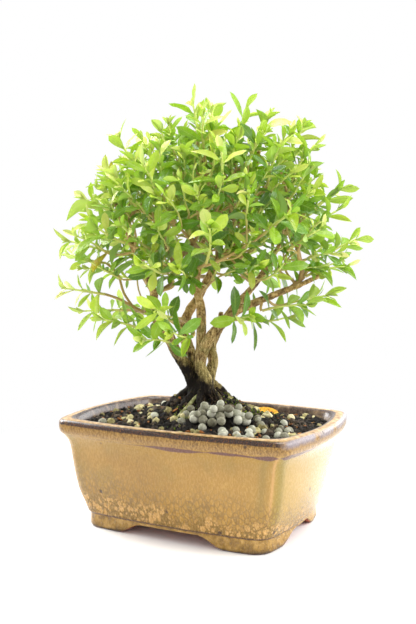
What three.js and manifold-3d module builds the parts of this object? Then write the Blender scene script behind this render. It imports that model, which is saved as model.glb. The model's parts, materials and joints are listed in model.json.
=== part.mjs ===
// Serissa bonsai in a glazed rectangular pot. Millimetres, +Z up, origin under the middle of the pot.
// The pot's long side runs along X and its front faces -Y.

import * as THREE from 'three';
import { mergeVertices } from 'three/addons/utils/BufferGeometryUtils.js';
import Module from 'manifold-3d';

const wasm = await Module();
wasm.setup();

// ---------------------------------------------------------------- driving dimensions

const MATING_GAP = 0.35; // clearance between pieces that touch

// Pot. Each side bows out, most at the rim: its middle stands a bow further out than its ends.
const RIM = { length: 166, depth: 121, longBow: 5.2, shortBow: 6 };
const FOOT = { length: 129, depth: 96, longBow: 2.2, shortBow: 3.4 };
const POT_HEIGHT = 67;
const SIDE_STEPS = 4;
const CORNER_STEPS = 3;
const FLOOR_TOP = 15;
const FLOOR_UNDERSIDE = 8;
const FOOT_WALL = 8;
const FOOT_CORNER = 12;
const RECESS_CORNER = 6;
const ARCH_HEIGHT = 6.8;
const ARCH_REACH = 170;
const LONG_ARCH_HALF_SPAN = 36;
const SHORT_ARCH_HALF_SPAN = 26;
// The gap between two feet: [in from the gap's end, height] up to its flat top
const ARCH_CURVE = [[4, 0.9], [8, 2.6], [13, 5.6], [17, ARCH_HEIGHT]];
// Up the outside and round the lip: [share of the way from the foot's outline to the rim's, inset from
// there, height, corner radius]
const POT_OUTER_PROFILE = [
  [0, 0, 0, FOOT_CORNER],
  [0, 0, 8.2, FOOT_CORNER],
  [0.09, 0, 9.4, 12],
  [0.195, 0, 15, 11.5],
  [0.395, 0, 24, 11],
  [0.535, 0, 37, 10.5],
  [0.63, 0, 50, 10],
  [0.82, 0, 56.5, 10],
  [0.98, 0, 59.2, 10],
  [1, 0, 64.8, 10],
  [1, 1.2, 66.6, 10],
];
// The same down the inner wall
const POT_INNER_PROFILE = [
  [1, 4.5, POT_HEIGHT, 11],
  [1, 7.2, 66.2, 12],
  [1, 8.4, 63, 12],
  [0.565, 6.2, 42, 11],
  [0.34, 6.7, 21, 10],
  [0.195, 9, FLOOR_TOP, 8],
];
const DRAIN_RADIUS = 7;
const DRAIN_OFFSET = 32;
const DRAIN_SIDES = 14;

// Drain mesh squares
const MESH_SIDE = 26;
const MESH_THICKNESS = 0.9;
const MESH_CELLS = 3;
const MESH_STRAND = 1.3;

// Soil
const SOIL_RIM_HEIGHT = 61.5;
const SOIL_LOOPS = [1, 0.9, 0.76, 0.6, 0.44, 0.28, 0.12];
const SOIL_GRIT = 0.8; // height of the random relief on the surface
const MOUNDS = [
  { x: -15, y: -5, height: 6.5, spread: 8 },
  { x: 0, y: 1, height: 10.5, spread: 27 },
  { x: 1, y: 9, height: 11.5, spread: 11 },
];
const SOIL_RIPPLE = { height: 0.7, alongX: 5.3, alongY: 4.7, shift: 0.6 };
// Chips and strewn pellets: where they may lie, and how they stand on the soil
const CHIP_COUNT = 15;
const CHIP_SIZE = [1.9, 3.6];
const CHIP_WIDTH = [0.5, 0.9];
const CHIP_HEIGHT = 0.55;
const CHIP_TILT = 0.8;
const CHIP_STANDING = 0.2;
const STREWN_PELLETS = 8;
const BITS_INSET = 18; // from the pot's overall length and depth
const BITS_CORNER = 9;
const HEAP_CLEARING = 1.55; // as shares of the heap's reach
const HEAP_BARE = 1.2;
const TRUNK_CLEARING = 14;

// Pellets
const PELLET_RADIUS = 2.85;
const PELLET_SPACING = 5.9;
const PELLET_JITTER = 0.3;
const HEAP = { x: 20, y: -20, length: 18.5, width: 13, turn: 0.42 };
const HEAP_CORE = { length: 17.5, width: 12, rise: 5.2, sunk: 3, sides: 10, loops: [1, 0.55] };
const PELLET_STANDING = 1.1; // height of a pellet's middle above the core of the heap

// Fallen leaf
const FALLEN_LEAF = { x: 29, y: 31, length: 15, width: 7, sunk: 1.4, standing: 1.6, heading: 0.3 };
const FALLEN_LEAF_WIDEST = 0.2; // before its middle, as a share of its length
const SLOPE_REACH = 3;

// Stems: [x, y, z, radius] along each stem's axis, chosen by eye
const STEMS = {
  butt: [[-2, 1, 34, 2.4], [-2.5, 1, 46, 4.6], [-2, 0, 58, 7.6], [-2.4, 0, 68, 9.4], [-2.6, 0, 76, 7.9],
    [-2.8, -0.4, 84, 6.3], [-3, -1, 90, 4.6]],
  left: [[-6, -2, 79, 4.1], [-8.5, -4, 92, 4], [-15, -11, 107, 3.7], [-18, -16, 118, 3.4],
    [-22, -21, 126, 3.1], [-24, -24, 136, 2.8], [-24, -23, 145, 2.6], [-29, -28, 157, 2.3],
    [-32, -32, 170, 2], [-38, -33, 185, 1.6], [-44, -34, 198, 1.2]],
  rearLeft: [[-5, 1, 80, 3.9], [-8, 1, 98, 3.6], [-15.5, 1.5, 114, 3.4], [-17, 2, 121, 3.3],
    [-14, 5, 132, 2.9], [-8, 8, 142, 2.7], [-5, 11, 151, 2.5], [-1, 14, 160, 2.4], [7, 19, 172, 2.2],
    [13, 23, 184, 2], [17, 25, 200, 1.8], [22, 26, 219, 1.5], [25, 27, 236, 1.1]],
  middle: [[-2, -1, 80, 3.9], [-3, -1, 93, 3.4], [-3, -1, 106, 3.2], [-2, -2, 124, 3.1], [-2, -3, 136, 2.8],
    [-4, -5, 149, 2.5], [0, -6, 170, 2.1], [4, -6, 192, 1.8], [5, -7, 208, 1.5], [0, -7, 228, 1.2],
    [-4, -7, 243, 1]],
  right: [[1, -1, 79, 4.1], [3, -3, 87, 4], [-0.5, -6, 98, 3.7], [2, -7, 108, 3.5], [6, -6, 116, 3.3],
    [13, -5, 124, 3.1], [21, -2, 132, 2.9], [31, 2, 137, 2.5], [42, 6, 142, 2.1], [56, 13, 148, 1.7],
    [67, 21, 154, 1.3]],
  rearRight: [[0, 3, 79, 4], [0, 6, 91, 3.7], [1, 9, 100, 3.4], [-1.2, 10, 107, 3.3], [-1, 13, 114, 3.2],
    [3, 18, 124, 2.9], [9, 26, 135, 2.6], [16, 35, 146, 2.3], [22, 44, 159, 2], [30, 53, 178, 1.6],
    [37, 60, 197, 1.2]],
};
const STEM_SIDES = 6;
const STEM_STEP = 14; // length of one faceted stretch of a stem
// The snapped-off stub: [x, y, z, radius]
const BROKEN_STUB = [[4, 17, 121, 2.2], [3, 15.5, 127, 1.9], [3.5, 15, 131, 1.5]];

// Surface roots: heading in degrees from +X, length along the soil, radius at the trunk
const ROOTS = [
  { heading: -84, length: 33, radius: 1.9 },
  { heading: -128, length: 21, radius: 3.4 },
  { heading: -168, length: 25, radius: 3.6 },
  { heading: 143, length: 22, radius: 3 },
  { heading: 88, length: 20, radius: 3.2 },
  { heading: 34, length: 24, radius: 3.4 },
  { heading: -16, length: 17, radius: 3.2 },
];
const ROOT_SIDES = 5;
const ROOT_STEPS = 3;
const TRUNK_X = -2;
const ROOT_START = 2; // distance of a root's start from the trunk's axis
const ROOT_START_RISE = 5.5;
const ROOT_SWAY = 0.22;
const ROOT_TAPER = 0.72;
const ROOT_DIVE = 1.6; // how deep a root's end lies, in radii

// Crown
const CROWN_SEED = 20;
const CROWN_CENTRE = new THREE.Vector3(0, -1, 174);
const CROWN_RADIUS = { x: 95, y: 90, rise: 93, drop: 52 };
const CROWN_HEART = new THREE.Vector3(0, 0, 148); // the point that the shoots grow away from
const SPRAY_COUNT = 47;
const FILL_TRIES = 150;
const FILL_LOWEST_LEVEL = -0.78;
const TIP_SPACING = 36;
const INNER_SPRAYS = [
  [-30, -38, 176], [34, -34, 178], [8, -44, 212], [-44, 38, 174], [40, 26, 196], [-8, 48, 204],
];
// The outermost leaf tips round the crown, chosen by hand
const LEADER_TIPS = [
  [-8, -4, 270], [-4, 18, 269], [25, 13, 266], [46, 1, 256], [58, 30, 255], [72, 15, 241], [81, 42, 214],
  [92, 46, 182], [93, 24, 162], [76, 39, 144], [73, 14, 138], [55, 28, 129], [51, -34, 132],
  [-25, -13, 253], [-51, -27, 247], [-48, -47, 223], [-74, -38, 207], [-73, -58, 178], [-96, -28, 170],
  [-87, -44, 148], [-89, -22, 131], [-54, -50, 131], [-50, -24, 126],
];

// Shoots and leaves
const TWIG_RADIUS = 0.85;
const TWIG_GROWTH = 0.42; // how fast a limb thickens with the shoots that it carries
const LIMB_STEPS = 3;
const LIMB_LOWEST_START = 108;
const LIMB_HANDLES = [0.3, 0.33]; // of the limb's length, at its foot and at its end
const TURN_COST = 0.75; // what it costs a limb to grow against its carrier, and to grow down
const DESCENT_COST = 0.35;
const SHOOT_LENGTH = 27;
const SHOOT_VARIATION = [0.86, 1.1];
const SHOOT_LIFT = { low: 0.35, high: 0.1 }; // upward turn of the shoots below and above the heart
const SHOOT_WANDER = 0.22;
const SHOOT_RADIUS = 0.8;
const SHOOT_TAPER = 0.4;
const NODE_HALF_LENGTH = 0.9; // half the stretch of shoot that a pair of leaves springs from
const LEAF_REACH = 10.5; // how far the last leaves stand past the end of the shoot
const PAIRS = 5;
const FIRST_PAIR = 0.16; // places along the shoot, as shares of its length
const LAST_PAIR = 0.97;
const LEAF_LENGTH = 15.5;
const LEAF_SLENDERNESS = 0.36;
const LEAF_SIZES = [0.8, 1.12];
const LAST_LEAF_SIZE = 0.78;
const LEAF_KEEL = 0.65; // midrib below the blade's edges and above them
const LEAF_RIM = 0.35;
const LEAF_WIDEST = 0.36;
const LEAF_SHOULDER = { share: 0.7, width: 0.8 };
const LEAF_ARCH = [-0.06, 0.27]; // sag of the tip, as a share of the length
const LEAF_OPEN = [1.3, 0.5]; // angle from the shoot, at its foot and at its end
const LEAF_OPEN_SPREAD = 0.4;
const LEAF_OPEN_LEAST = 0.32;
const LEAF_TURN_SPREAD = 0.5;
// Turns and openings that a leaf tries, in order, until it stands clear
const LEAF_TRIALS = [[0, 0], [0.25, 0.15], [-0.25, 0.15], [0.3, -0.15], [-0.3, -0.15], [0, 0.3]];
const CLEARANCE = 0.5;
// Balls that stand for leaves and stems while room is sought
const BALL_SHARES = [0.3, 0.55, 0.8];
const BALL_WIDTH = 0.9;
const TIP_BALL = 0.6;
const BALL_SPACING = 2.5;

// ---------------------------------------------------------------- materials

function finish(color, roughness) {
  return new THREE.MeshStandardMaterial({ color, roughness, metalness: 0 });
}

const GLAZE = finish(0xc69c5c, 0.25);
const SOIL_FINISH = finish(0x2c231c, 0.95);
const PELLET_FINISH = finish(0xa7a89c, 0.85);
const BARK = finish(0x8a7350, 0.85);
const LEAF_GREEN = finish(0x86b52f, 0.5);
const LEAF_YELLOW = finish(0xd99a1e, 0.6);
const MESH_PLASTIC = finish(0x3b3f42, 0.6);

// ---------------------------------------------------------------- numbers and vectors

const UP = new THREE.Vector3(0, 0, 1);
const GOLDEN_ANGLE = Math.PI * (3 - Math.sqrt(5));

function seededRandom(seed) {
  let state = seed >>> 0;
  return () => {
    state = (state + 0x6d2b79f5) >>> 0;
    let mixed = Math.imul(state ^ (state >>> 15), 1 | state);
    mixed = (mixed + Math.imul(mixed ^ (mixed >>> 7), 61 | mixed)) ^ mixed;
    return ((mixed ^ (mixed >>> 14)) >>> 0) / 4294967296;
  };
}

function between(low, high, share) {
  return low + (high - low) * share;
}

// A unit vector square to `axis`, turned by `angle` round it.
function sideways(axis, angle) {
  const reference = Math.abs(axis.z) < 0.9 ? UP : new THREE.Vector3(1, 0, 0);
  const side = new THREE.Vector3().crossVectors(reference, axis).normalize();
  const other = new THREE.Vector3().crossVectors(axis, side);
  return side.multiplyScalar(Math.cos(angle)).addScaledVector(other, Math.sin(angle));
}

// ---------------------------------------------------------------- solids

function solidFrom(positions, triangles) {
  const mesh = new wasm.Mesh({
    numProp: 3,
    vertProperties: new Float32Array(positions),
    triVerts: new Uint32Array(triangles),
  });
  return new wasm.Manifold(mesh);
}

function solidOf(geometry) {
  const bare = geometry.clone();
  bare.deleteAttribute('normal');
  bare.deleteAttribute('uv');
  const merged = mergeVertices(bare, 1e-5);
  return solidFrom(merged.attributes.position.array, merged.index.array);
}

function geometryOf(solid) {
  const mesh = solid.getMesh();
  const geometry = new THREE.BufferGeometry();
  geometry.setAttribute('position', new THREE.BufferAttribute(new Float32Array(mesh.vertProperties), 3));
  geometry.setIndex(new THREE.BufferAttribute(new Uint32Array(mesh.triVerts), 1));
  geometry.computeVertexNormals();
  return geometry;
}

function fuse(solids) {
  return wasm.Manifold.union(solids);
}

// The one body of a cut solid that matters, without the loose scraps that the cut left.
function largestBody(solid) {
  const bodies = solid.decompose();
  return bodies.reduce((best, body) => (body.volume() > best.volume() ? body : best));
}

// Rings of equally many points, skinned one to the next and closed at both ends.
function loft(rings) {
  const count = rings[0].length;
  const positions = rings.flat().flatMap((point) => [point.x, point.y, point.z]);
  const triangles = [];
  for (let ring = 0; ring + 1 < rings.length; ring += 1) {
    for (let step = 0; step < count; step += 1) {
      const here = ring * count + step;
      const next = ring * count + ((step + 1) % count);
      triangles.push(here, next, next + count, here, next + count, here + count);
    }
  }
  const last = (rings.length - 1) * count;
  for (let step = 1; step + 1 < count; step += 1) {
    triangles.push(0, step + 1, step);
    triangles.push(last, last + step, last + step + 1);
  }
  return solidFrom(positions, triangles);
}

// A tapered tube with flat ends: `points` along its axis and a radius at each. Its far end is cut
// square to `endAxis` where one is given.
function taperedTube(points, radii, sides, endAxis = null) {
  let side = sideways(points[1].clone().sub(points[0]).normalize(), 0);
  const rings = points.map((point, index) => {
    const ahead = points[Math.min(index + 1, points.length - 1)];
    const behind = points[Math.max(index - 1, 0)];
    const cut = endAxis && index === points.length - 1;
    const axis = cut ? endAxis : ahead.clone().sub(behind).normalize();
    side = side.addScaledVector(axis, -side.dot(axis)).normalize();
    const other = new THREE.Vector3().crossVectors(axis, side);
    const ring = [];
    for (let step = 0; step < sides; step += 1) {
      const angle = (2 * Math.PI * step) / sides;
      const corner = point.clone().addScaledVector(side, radii[index] * Math.cos(angle));
      ring.push(corner.addScaledVector(other, radii[index] * Math.sin(angle)));
    }
    side = side.clone();
    return ring;
  });
  return loft(rings);
}

// ---------------------------------------------------------------- pot

// The pot's outline at a share of the way from its foot to its rim, drawn in by an inset.
function potOutline(share, inset, height, radius, scale = 1) {
  const longBow = between(FOOT.longBow, RIM.longBow, share);
  const shortBow = between(FOOT.shortBow, RIM.shortBow, share);
  const halfLength = between(FOOT.length, RIM.length, share) / 2 - inset;
  const halfDepth = between(FOOT.depth, RIM.depth, share) / 2 - inset;
  const longSlope = Math.atan((2 * longBow) / (halfLength - radius));
  const shortSlope = Math.atan((2 * shortBow) / (halfDepth - radius));
  const cornerX = halfLength - shortBow - radius * Math.cos(shortSlope);
  const cornerY = halfDepth - longBow - radius * Math.cos(longSlope);
  const endX = cornerX + radius * Math.sin(longSlope);
  const endY = cornerY + radius * Math.sin(shortSlope);
  const quarter = [];
  for (let step = 0; step < CORNER_STEPS; step += 1) {
    const angle = between(shortSlope, Math.PI / 2 - longSlope, step / CORNER_STEPS);
    quarter.push([cornerX + radius * Math.cos(angle), cornerY + radius * Math.sin(angle)]);
  }
  const points = [...quarter];
  for (let step = 0; step < SIDE_STEPS; step += 1) {
    const across = 1 - (2 * step) / SIDE_STEPS;
    points.push([across * endX, halfDepth - longBow * across ** 2]);
  }
  for (let step = 0; step < CORNER_STEPS; step += 1) {
    const angle = between(Math.PI / 2 + longSlope, Math.PI - shortSlope, step / CORNER_STEPS);
    points.push([-cornerX + radius * Math.cos(angle), cornerY + radius * Math.sin(angle)]);
  }
  for (let step = 0; step < SIDE_STEPS; step += 1) {
    const across = 1 - (2 * step) / SIDE_STEPS;
    points.push([-(halfLength - shortBow * across ** 2), across * endY]);
  }
  const half = points.map(([x, y]) => new THREE.Vector3(x * scale, y * scale, height));
  return [...half, ...half.map((point) => new THREE.Vector3(-point.x, -point.y, height))];
}

function potSkin(profile) {
  return loft(profile.map((row) => potOutline(...row)));
}

// The curved gap between two feet, cut through the pot along Y, or along X when turned.
function footArch(halfSpan, turned) {
  const rise = ARCH_CURVE.map(([inward, height]) => new THREE.Vector2(inward - halfSpan, height));
  const fall = rise.map((point) => new THREE.Vector2(-point.x, point.y)).reverse();
  const shape = new THREE.Shape();
  shape.moveTo(-halfSpan, -1);
  shape.lineTo(-halfSpan, 0);
  shape.splineThru(rise);
  shape.lineTo(fall[0].x, fall[0].y);
  shape.splineThru([...fall.slice(1), new THREE.Vector2(halfSpan, 0)]);
  shape.lineTo(halfSpan, -1);
  const bar = new THREE.ExtrudeGeometry(shape, { depth: ARCH_REACH, bevelEnabled: false, curveSegments: 2 });
  bar.translate(0, 0, -ARCH_REACH / 2);
  bar.rotateX(Math.PI / 2);
  if (turned) bar.rotateZ(Math.PI / 2);
  return solidOf(bar);
}

function drainHole(x) {
  const hole = new THREE.CylinderGeometry(DRAIN_RADIUS, DRAIN_RADIUS, 2 * FLOOR_TOP, DRAIN_SIDES);
  hole.rotateX(Math.PI / 2);
  hole.translate(x, 0, FLOOR_TOP);
  return solidOf(hole);
}

function buildPot() {
  const body = potSkin([...POT_OUTER_PROFILE, ...POT_INNER_PROFILE]);
  const recess = potSkin([-1, FLOOR_UNDERSIDE].map((height) => [0, FOOT_WALL, height, RECESS_CORNER]));
  const cuts = [
    recess,
    footArch(LONG_ARCH_HALF_SPAN, false),
    footArch(SHORT_ARCH_HALF_SPAN, true),
    drainHole(-DRAIN_OFFSET),
    drainHole(DRAIN_OFFSET),
  ];
  return body.subtract(fuse(cuts));
}

// ---------------------------------------------------------------- drain meshes

function meshSquare() {
  const middle = FLOOR_TOP + MATING_GAP + MESH_THICKNESS / 2;
  const plate = new THREE.BoxGeometry(MESH_SIDE, MESH_SIDE, MESH_THICKNESS).translate(0, 0, middle);
  const pitch = (MESH_SIDE - MESH_STRAND) / MESH_CELLS;
  const cells = [];
  for (let column = 0; column < MESH_CELLS; column += 1) {
    for (let row = 0; row < MESH_CELLS; row += 1) {
      const x = (column - (MESH_CELLS - 1) / 2) * pitch;
      const y = (row - (MESH_CELLS - 1) / 2) * pitch;
      const side = pitch - MESH_STRAND;
      cells.push(solidOf(new THREE.BoxGeometry(side, side, 2 * MESH_THICKNESS).translate(x, y, middle)));
    }
  }
  return geometryOf(solidOf(plate).subtract(fuse(cells)));
}

function meshPocket(x) {
  const side = MESH_SIDE + 2 * MATING_GAP;
  const height = MESH_THICKNESS + 2 * MATING_GAP;
  const pocket = new THREE.BoxGeometry(side, side, 2 * height);
  return solidOf(pocket.translate(x, 0, FLOOR_TOP));
}

// ---------------------------------------------------------------- wood: stems, roots and limbs

function smoothPath(points, steps) {
  return new THREE.CatmullRomCurve3(points, false, 'catmullrom', 0.5).getPoints(steps);
}

// A stem as its axis points and radii, read off a smooth curve through its waypoints.
function stemPath(waypoints) {
  const places = waypoints.map(([x, y, z]) => new THREE.Vector3(x, y, z));
  const sizes = waypoints.map(([, , , radius]) => new THREE.Vector3(radius, 0, 0));
  let length = 0;
  for (let index = 1; index < places.length; index += 1) {
    length += places[index].distanceTo(places[index - 1]);
  }
  const steps = Math.max(2, Math.round(length / STEM_STEP));
  return { points: smoothPath(places, steps), radii: smoothPath(sizes, steps).map((size) => size.x) };
}

function outwardFrom(point) {
  return point.clone().sub(CROWN_HEART).normalize();
}

// The leaf tips that the sprays reach: the leaders, then a shell filled by the golden angle.
function sprayTips() {
  const tips = [...LEADER_TIPS, ...INNER_SPRAYS].map(([x, y, z]) => new THREE.Vector3(x, y, z));
  for (let index = 0; index < FILL_TRIES && tips.length < SPRAY_COUNT; index += 1) {
    const level = 1 - (2 * (index + 0.5)) / FILL_TRIES;
    const ring = Math.sqrt(1 - level * level);
    const turn = index * GOLDEN_ANGLE;
    const reach = level > 0 ? CROWN_RADIUS.rise : CROWN_RADIUS.drop;
    const tip = new THREE.Vector3(
      CROWN_CENTRE.x + CROWN_RADIUS.x * ring * Math.cos(turn),
      CROWN_CENTRE.y + CROWN_RADIUS.y * ring * Math.sin(turn),
      CROWN_CENTRE.z + reach * level,
    );
    const clear = tips.every((other) => other.distanceTo(tip) > TIP_SPACING);
    if (clear && level > FILL_LOWEST_LEVEL) tips.push(tip);
  }
  return tips;
}

// One green shoot: where it starts, which way it grows and the leaf tip that it reaches.
function shootAt(tip, random) {
  const outward = outwardFrom(tip);
  const heading = outward.clone().addScaledVector(UP, outward.z < 0 ? SHOOT_LIFT.low : SHOOT_LIFT.high);
  heading.addScaledVector(sideways(outward, 2 * Math.PI * random()), SHOOT_WANDER * random());
  heading.normalize();
  const length = SHOOT_LENGTH * between(...SHOOT_VARIATION, random());
  const start = tip.clone().addScaledVector(heading, -(length + LEAF_REACH));
  return { tip, heading, length, start, turn: Math.PI * random() };
}

// Where on the wood a limb to `goal` leaves it: near, lower down and not against the growth.
function branchingPlace(wood, goal) {
  let best = null;
  wood.forEach((limb, limbIndex) => {
    for (let index = 1; index + 1 < limb.points.length; index += 1) {
      const place = limb.points[index];
      if (place.z < LIMB_LOWEST_START) continue;
      const growth = limb.points[index + 1].clone().sub(limb.points[index - 1]).normalize();
      const towards = goal.clone().sub(place);
      const distance = towards.length();
      const against = 1 - towards.dot(growth) / distance;
      const cost = distance * (1 + TURN_COST * against) + DESCENT_COST * Math.max(0, place.z - goal.z);
      if (!best || cost < best.cost) best = { cost, limbIndex, index, place, growth, distance };
    }
  });
  return best;
}

// Stems, then a limb for each shoot, inner ones first. Each limb remembers what it springs from.
function growWood(shoots) {
  const wood = Object.entries(STEMS)
    .filter(([name]) => name !== 'butt')
    .map(([, waypoints]) => ({ ...stemPath(waypoints), parent: null, loads: null }));
  const order = shoots
    .map((shoot) => ({ shoot, far: shoot.start.distanceTo(CROWN_HEART) }))
    .sort((one, other) => one.far - other.far);
  for (const { shoot } of order) {
    const goal = shoot.start.clone().addScaledVector(shoot.heading, -MATING_GAP);
    const from = branchingPlace(wood, goal);
    const curve = new THREE.CubicBezierCurve3(
      from.place,
      from.place.clone().addScaledVector(from.growth, LIMB_HANDLES[0] * from.distance),
      goal.clone().addScaledVector(shoot.heading, -LIMB_HANDLES[1] * from.distance),
      goal,
    );
    const points = curve.getPoints(LIMB_STEPS);
    const limb = { points, radii: null, parent: from.limbIndex, foot: from.index, heading: shoot.heading };
    limb.loads = points.map(() => 1);
    wood.push(limb);
    let carrier = limb;
    while (carrier.parent !== null) {
      const below = wood[carrier.parent];
      for (let index = 0; below.loads && index <= carrier.foot; index += 1) below.loads[index] += 1;
      carrier = below;
    }
  }
  for (const limb of wood) {
    if (limb.loads) limb.radii = limb.loads.map((load) => TWIG_RADIUS * load ** TWIG_GROWTH);
  }
  return wood;
}

function soilHeight(x, y) {
  let height = SOIL_RIM_HEIGHT;
  for (const mound of MOUNDS) {
    const squared = (x - mound.x) ** 2 + (y - mound.y) ** 2;
    height += mound.height * Math.exp(-squared / (2 * mound.spread ** 2));
  }
  const { alongX, alongY, shift } = SOIL_RIPPLE;
  return height + SOIL_RIPPLE.height * Math.sin(x / alongX) * Math.cos(y / alongY + shift);
}

function rootPath(root) {
  const heading = THREE.MathUtils.degToRad(root.heading);
  const points = [];
  const radii = [];
  for (let step = 0; step <= ROOT_STEPS; step += 1) {
    const share = step / ROOT_STEPS;
    const away = ROOT_START + root.length * share;
    const sway = heading + ROOT_SWAY * Math.sin(3 * share);
    const x = TRUNK_X + away * Math.cos(sway);
    const y = away * Math.sin(sway);
    const radius = root.radius * (1 - ROOT_TAPER * share);
    const rise = ROOT_START_RISE * (1 - share) ** 2 - ROOT_DIVE * radius * share ** 2;
    points.push(new THREE.Vector3(x, y, soilHeight(x, y) + rise));
    radii.push(radius);
  }
  return { points, radii };
}

// The whole woody body, with every radius grown by `extra` for the hole that it stands in.
function buildWood(wood, extra) {
  const grown = (radii) => radii.map((radius) => radius + extra);
  const butt = stemPath(STEMS.butt);
  const stub = stemPath(BROKEN_STUB);
  const tubes = [taperedTube(butt.points, grown(butt.radii), STEM_SIDES + 2)];
  tubes.push(taperedTube(stub.points, grown(stub.radii), ROOT_SIDES));
  for (const root of ROOTS.map(rootPath)) tubes.push(taperedTube(root.points, grown(root.radii), ROOT_SIDES));
  for (const limb of wood) {
    const sides = limb.loads ? (limb.loads[0] > 3 ? 4 : 3) : STEM_SIDES;
    tubes.push(taperedTube(limb.points, grown(limb.radii), sides, limb.heading));
  }
  return fuse(tubes);
}

// ---------------------------------------------------------------- sprays: shoots with opposite leaves

// Shares of the shoot's length where its pairs of leaves stand.
function pairShares() {
  return Array.from({ length: PAIRS }, (unused, pair) => between(FIRST_PAIR, LAST_PAIR, pair / (PAIRS - 1)));
}

// A leaf as its own axes: along the midrib, across the blade and out of its upper face.
function leafOn(shoot, share, azimuth, opening, size, arch) {
  const axis = shoot.heading;
  const side = sideways(axis, azimuth);
  const along = axis.clone().multiplyScalar(Math.cos(opening)).addScaledVector(side, Math.sin(opening));
  const face = axis.clone().multiplyScalar(Math.sin(opening)).addScaledVector(side, -Math.cos(opening));
  const across = new THREE.Vector3().crossVectors(face, along);
  const foot = shoot.start.clone().addScaledVector(axis, shoot.length * share);
  return { foot, along, across, face, length: size, width: size * LEAF_SLENDERNESS, arch };
}

// A place on the leaf: `share` of its length, `out` half-widths aside, `lift` above the midrib plane.
function leafPoint(leaf, share, out, lift) {
  const sag = leaf.arch * leaf.length * share * share;
  return leaf.foot.clone()
    .addScaledVector(leaf.along, leaf.length * share)
    .addScaledVector(leaf.across, (out * leaf.width) / 2)
    .addScaledVector(leaf.face, lift - sag);
}

// Balls along a leaf's midrib, which keep the leaves of different sprays apart.
function leafBalls(leaf) {
  const radius = (leaf.width / 2) * BALL_WIDTH;
  const balls = BALL_SHARES.map((share) => ({ centre: leafPoint(leaf, share, 0, 0), radius }));
  return [...balls, { centre: leafPoint(leaf, 1, 0, 0), radius: TIP_BALL }];
}

function pathBalls(points, radii) {
  const balls = [];
  for (let index = 0; index + 1 < points.length; index += 1) {
    const parts = Math.ceil(points[index].distanceTo(points[index + 1]) / BALL_SPACING);
    for (let part = 0; part <= parts; part += 1) {
      const share = part / parts;
      const radius = between(radii[index], radii[index + 1], share);
      balls.push({ centre: points[index].clone().lerp(points[index + 1], share), radius });
    }
  }
  return balls;
}

function isClear(balls, obstacles) {
  return balls.every((ball) => obstacles.every((other) => {
    const reach = ball.radius + other.radius + CLEARANCE;
    return ball.centre.distanceToSquared(other.centre) > reach * reach;
  }));
}

// The leaves of one shoot, in opposite pairs that turn a quarter from one to the next.
function growLeaves(shoot, obstacles, random) {
  const leaves = [];
  pairShares().forEach((share, pair) => {
    const age = pair / (PAIRS - 1);
    for (const half of [0, 1]) {
      const sway = LEAF_TURN_SPREAD * (random() - 0.5);
      const azimuth = shoot.turn + pair * (Math.PI / 2) + half * Math.PI + sway;
      const opening = between(...LEAF_OPEN, age) + LEAF_OPEN_SPREAD * (random() - 0.5);
      const size = LEAF_LENGTH * between(...LEAF_SIZES, random()) * (pair === PAIRS - 1 ? LAST_LEAF_SIZE : 1);
      const arch = between(...LEAF_ARCH, random());
      const trials = LEAF_TRIALS.map(([turned, opened]) => (
        leafOn(shoot, share, azimuth + turned, Math.max(LEAF_OPEN_LEAST, opening + opened), size, arch)
      ));
      const siblings = leaves.flatMap((leaf) => (leaf ? leafBalls(leaf) : []));
      leaves.push(trials.find((leaf) => isClear(leafBalls(leaf), [...obstacles, ...siblings])) ?? null);
    }
  });
  return leaves;
}

function growSprays(shoots, wood) {
  const random = seededRandom(CROWN_SEED + 1);
  const woodBalls = wood.flatMap((limb) => pathBalls(limb.points, limb.radii));
  const shootBalls = shoots.map((shoot) => {
    const end = shoot.start.clone().addScaledVector(shoot.heading, shoot.length);
    return pathBalls([shoot.start, end], [SHOOT_RADIUS, SHOOT_RADIUS]);
  });
  const grown = [];
  shoots.forEach((shoot, index) => {
    const others = shootBalls.filter((balls, other) => other !== index).flat();
    const earlier = grown.flatMap((spray) => spray.filter((leaf) => leaf).flatMap(leafBalls));
    grown.push(growLeaves(shoot, [...woodBalls, ...others, ...earlier], random));
  });
  return grown;
}

// Four corners round the shoot's axis; its four sides face the four ways that leaves grow.
function shootRing(shoot, distance, radius) {
  return [0, 1, 2, 3].map((corner) => {
    const angle = shoot.turn + (corner - 0.5) * (Math.PI / 2);
    return shoot.start.clone()
      .addScaledVector(shoot.heading, distance)
      .addScaledVector(sideways(shoot.heading, angle), radius);
  });
}

// A blade grown out of the triangle `root` of the shoot's skin: a keel and two edges where it is
// widest, two shoulders further out, and the tip.
function addBlade(points, triangles, leaf, root) {
  const first = points.length;
  const corners = [0, 1, 2, 3, 4, 5].map((step) => first + step);
  const [keel, right, left, rightShoulder, leftShoulder, tip] = corners;
  points.push(leafPoint(leaf, LEAF_WIDEST, 0, -LEAF_KEEL));
  points.push(leafPoint(leaf, LEAF_WIDEST, 1, LEAF_RIM));
  points.push(leafPoint(leaf, LEAF_WIDEST, -1, LEAF_RIM));
  points.push(leafPoint(leaf, LEAF_SHOULDER.share, LEAF_SHOULDER.width, LEAF_RIM));
  points.push(leafPoint(leaf, LEAF_SHOULDER.share, -LEAF_SHOULDER.width, LEAF_RIM));
  points.push(leafPoint(leaf, 1, 0, 0));
  const widest = [keel, right, left];
  for (const side of [0, 1, 2]) {
    const turned = (side + 1) % 3;
    triangles.push(root[side], root[turned], widest[turned], root[side], widest[turned], widest[side]);
  }
  triangles.push(keel, right, rightShoulder, keel, rightShoulder, tip);
  triangles.push(right, left, leftShoulder, right, leftShoulder, rightShoulder);
  triangles.push(rightShoulder, leftShoulder, tip);
  triangles.push(left, keel, tip, left, tip, leftShoulder);
}

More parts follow.
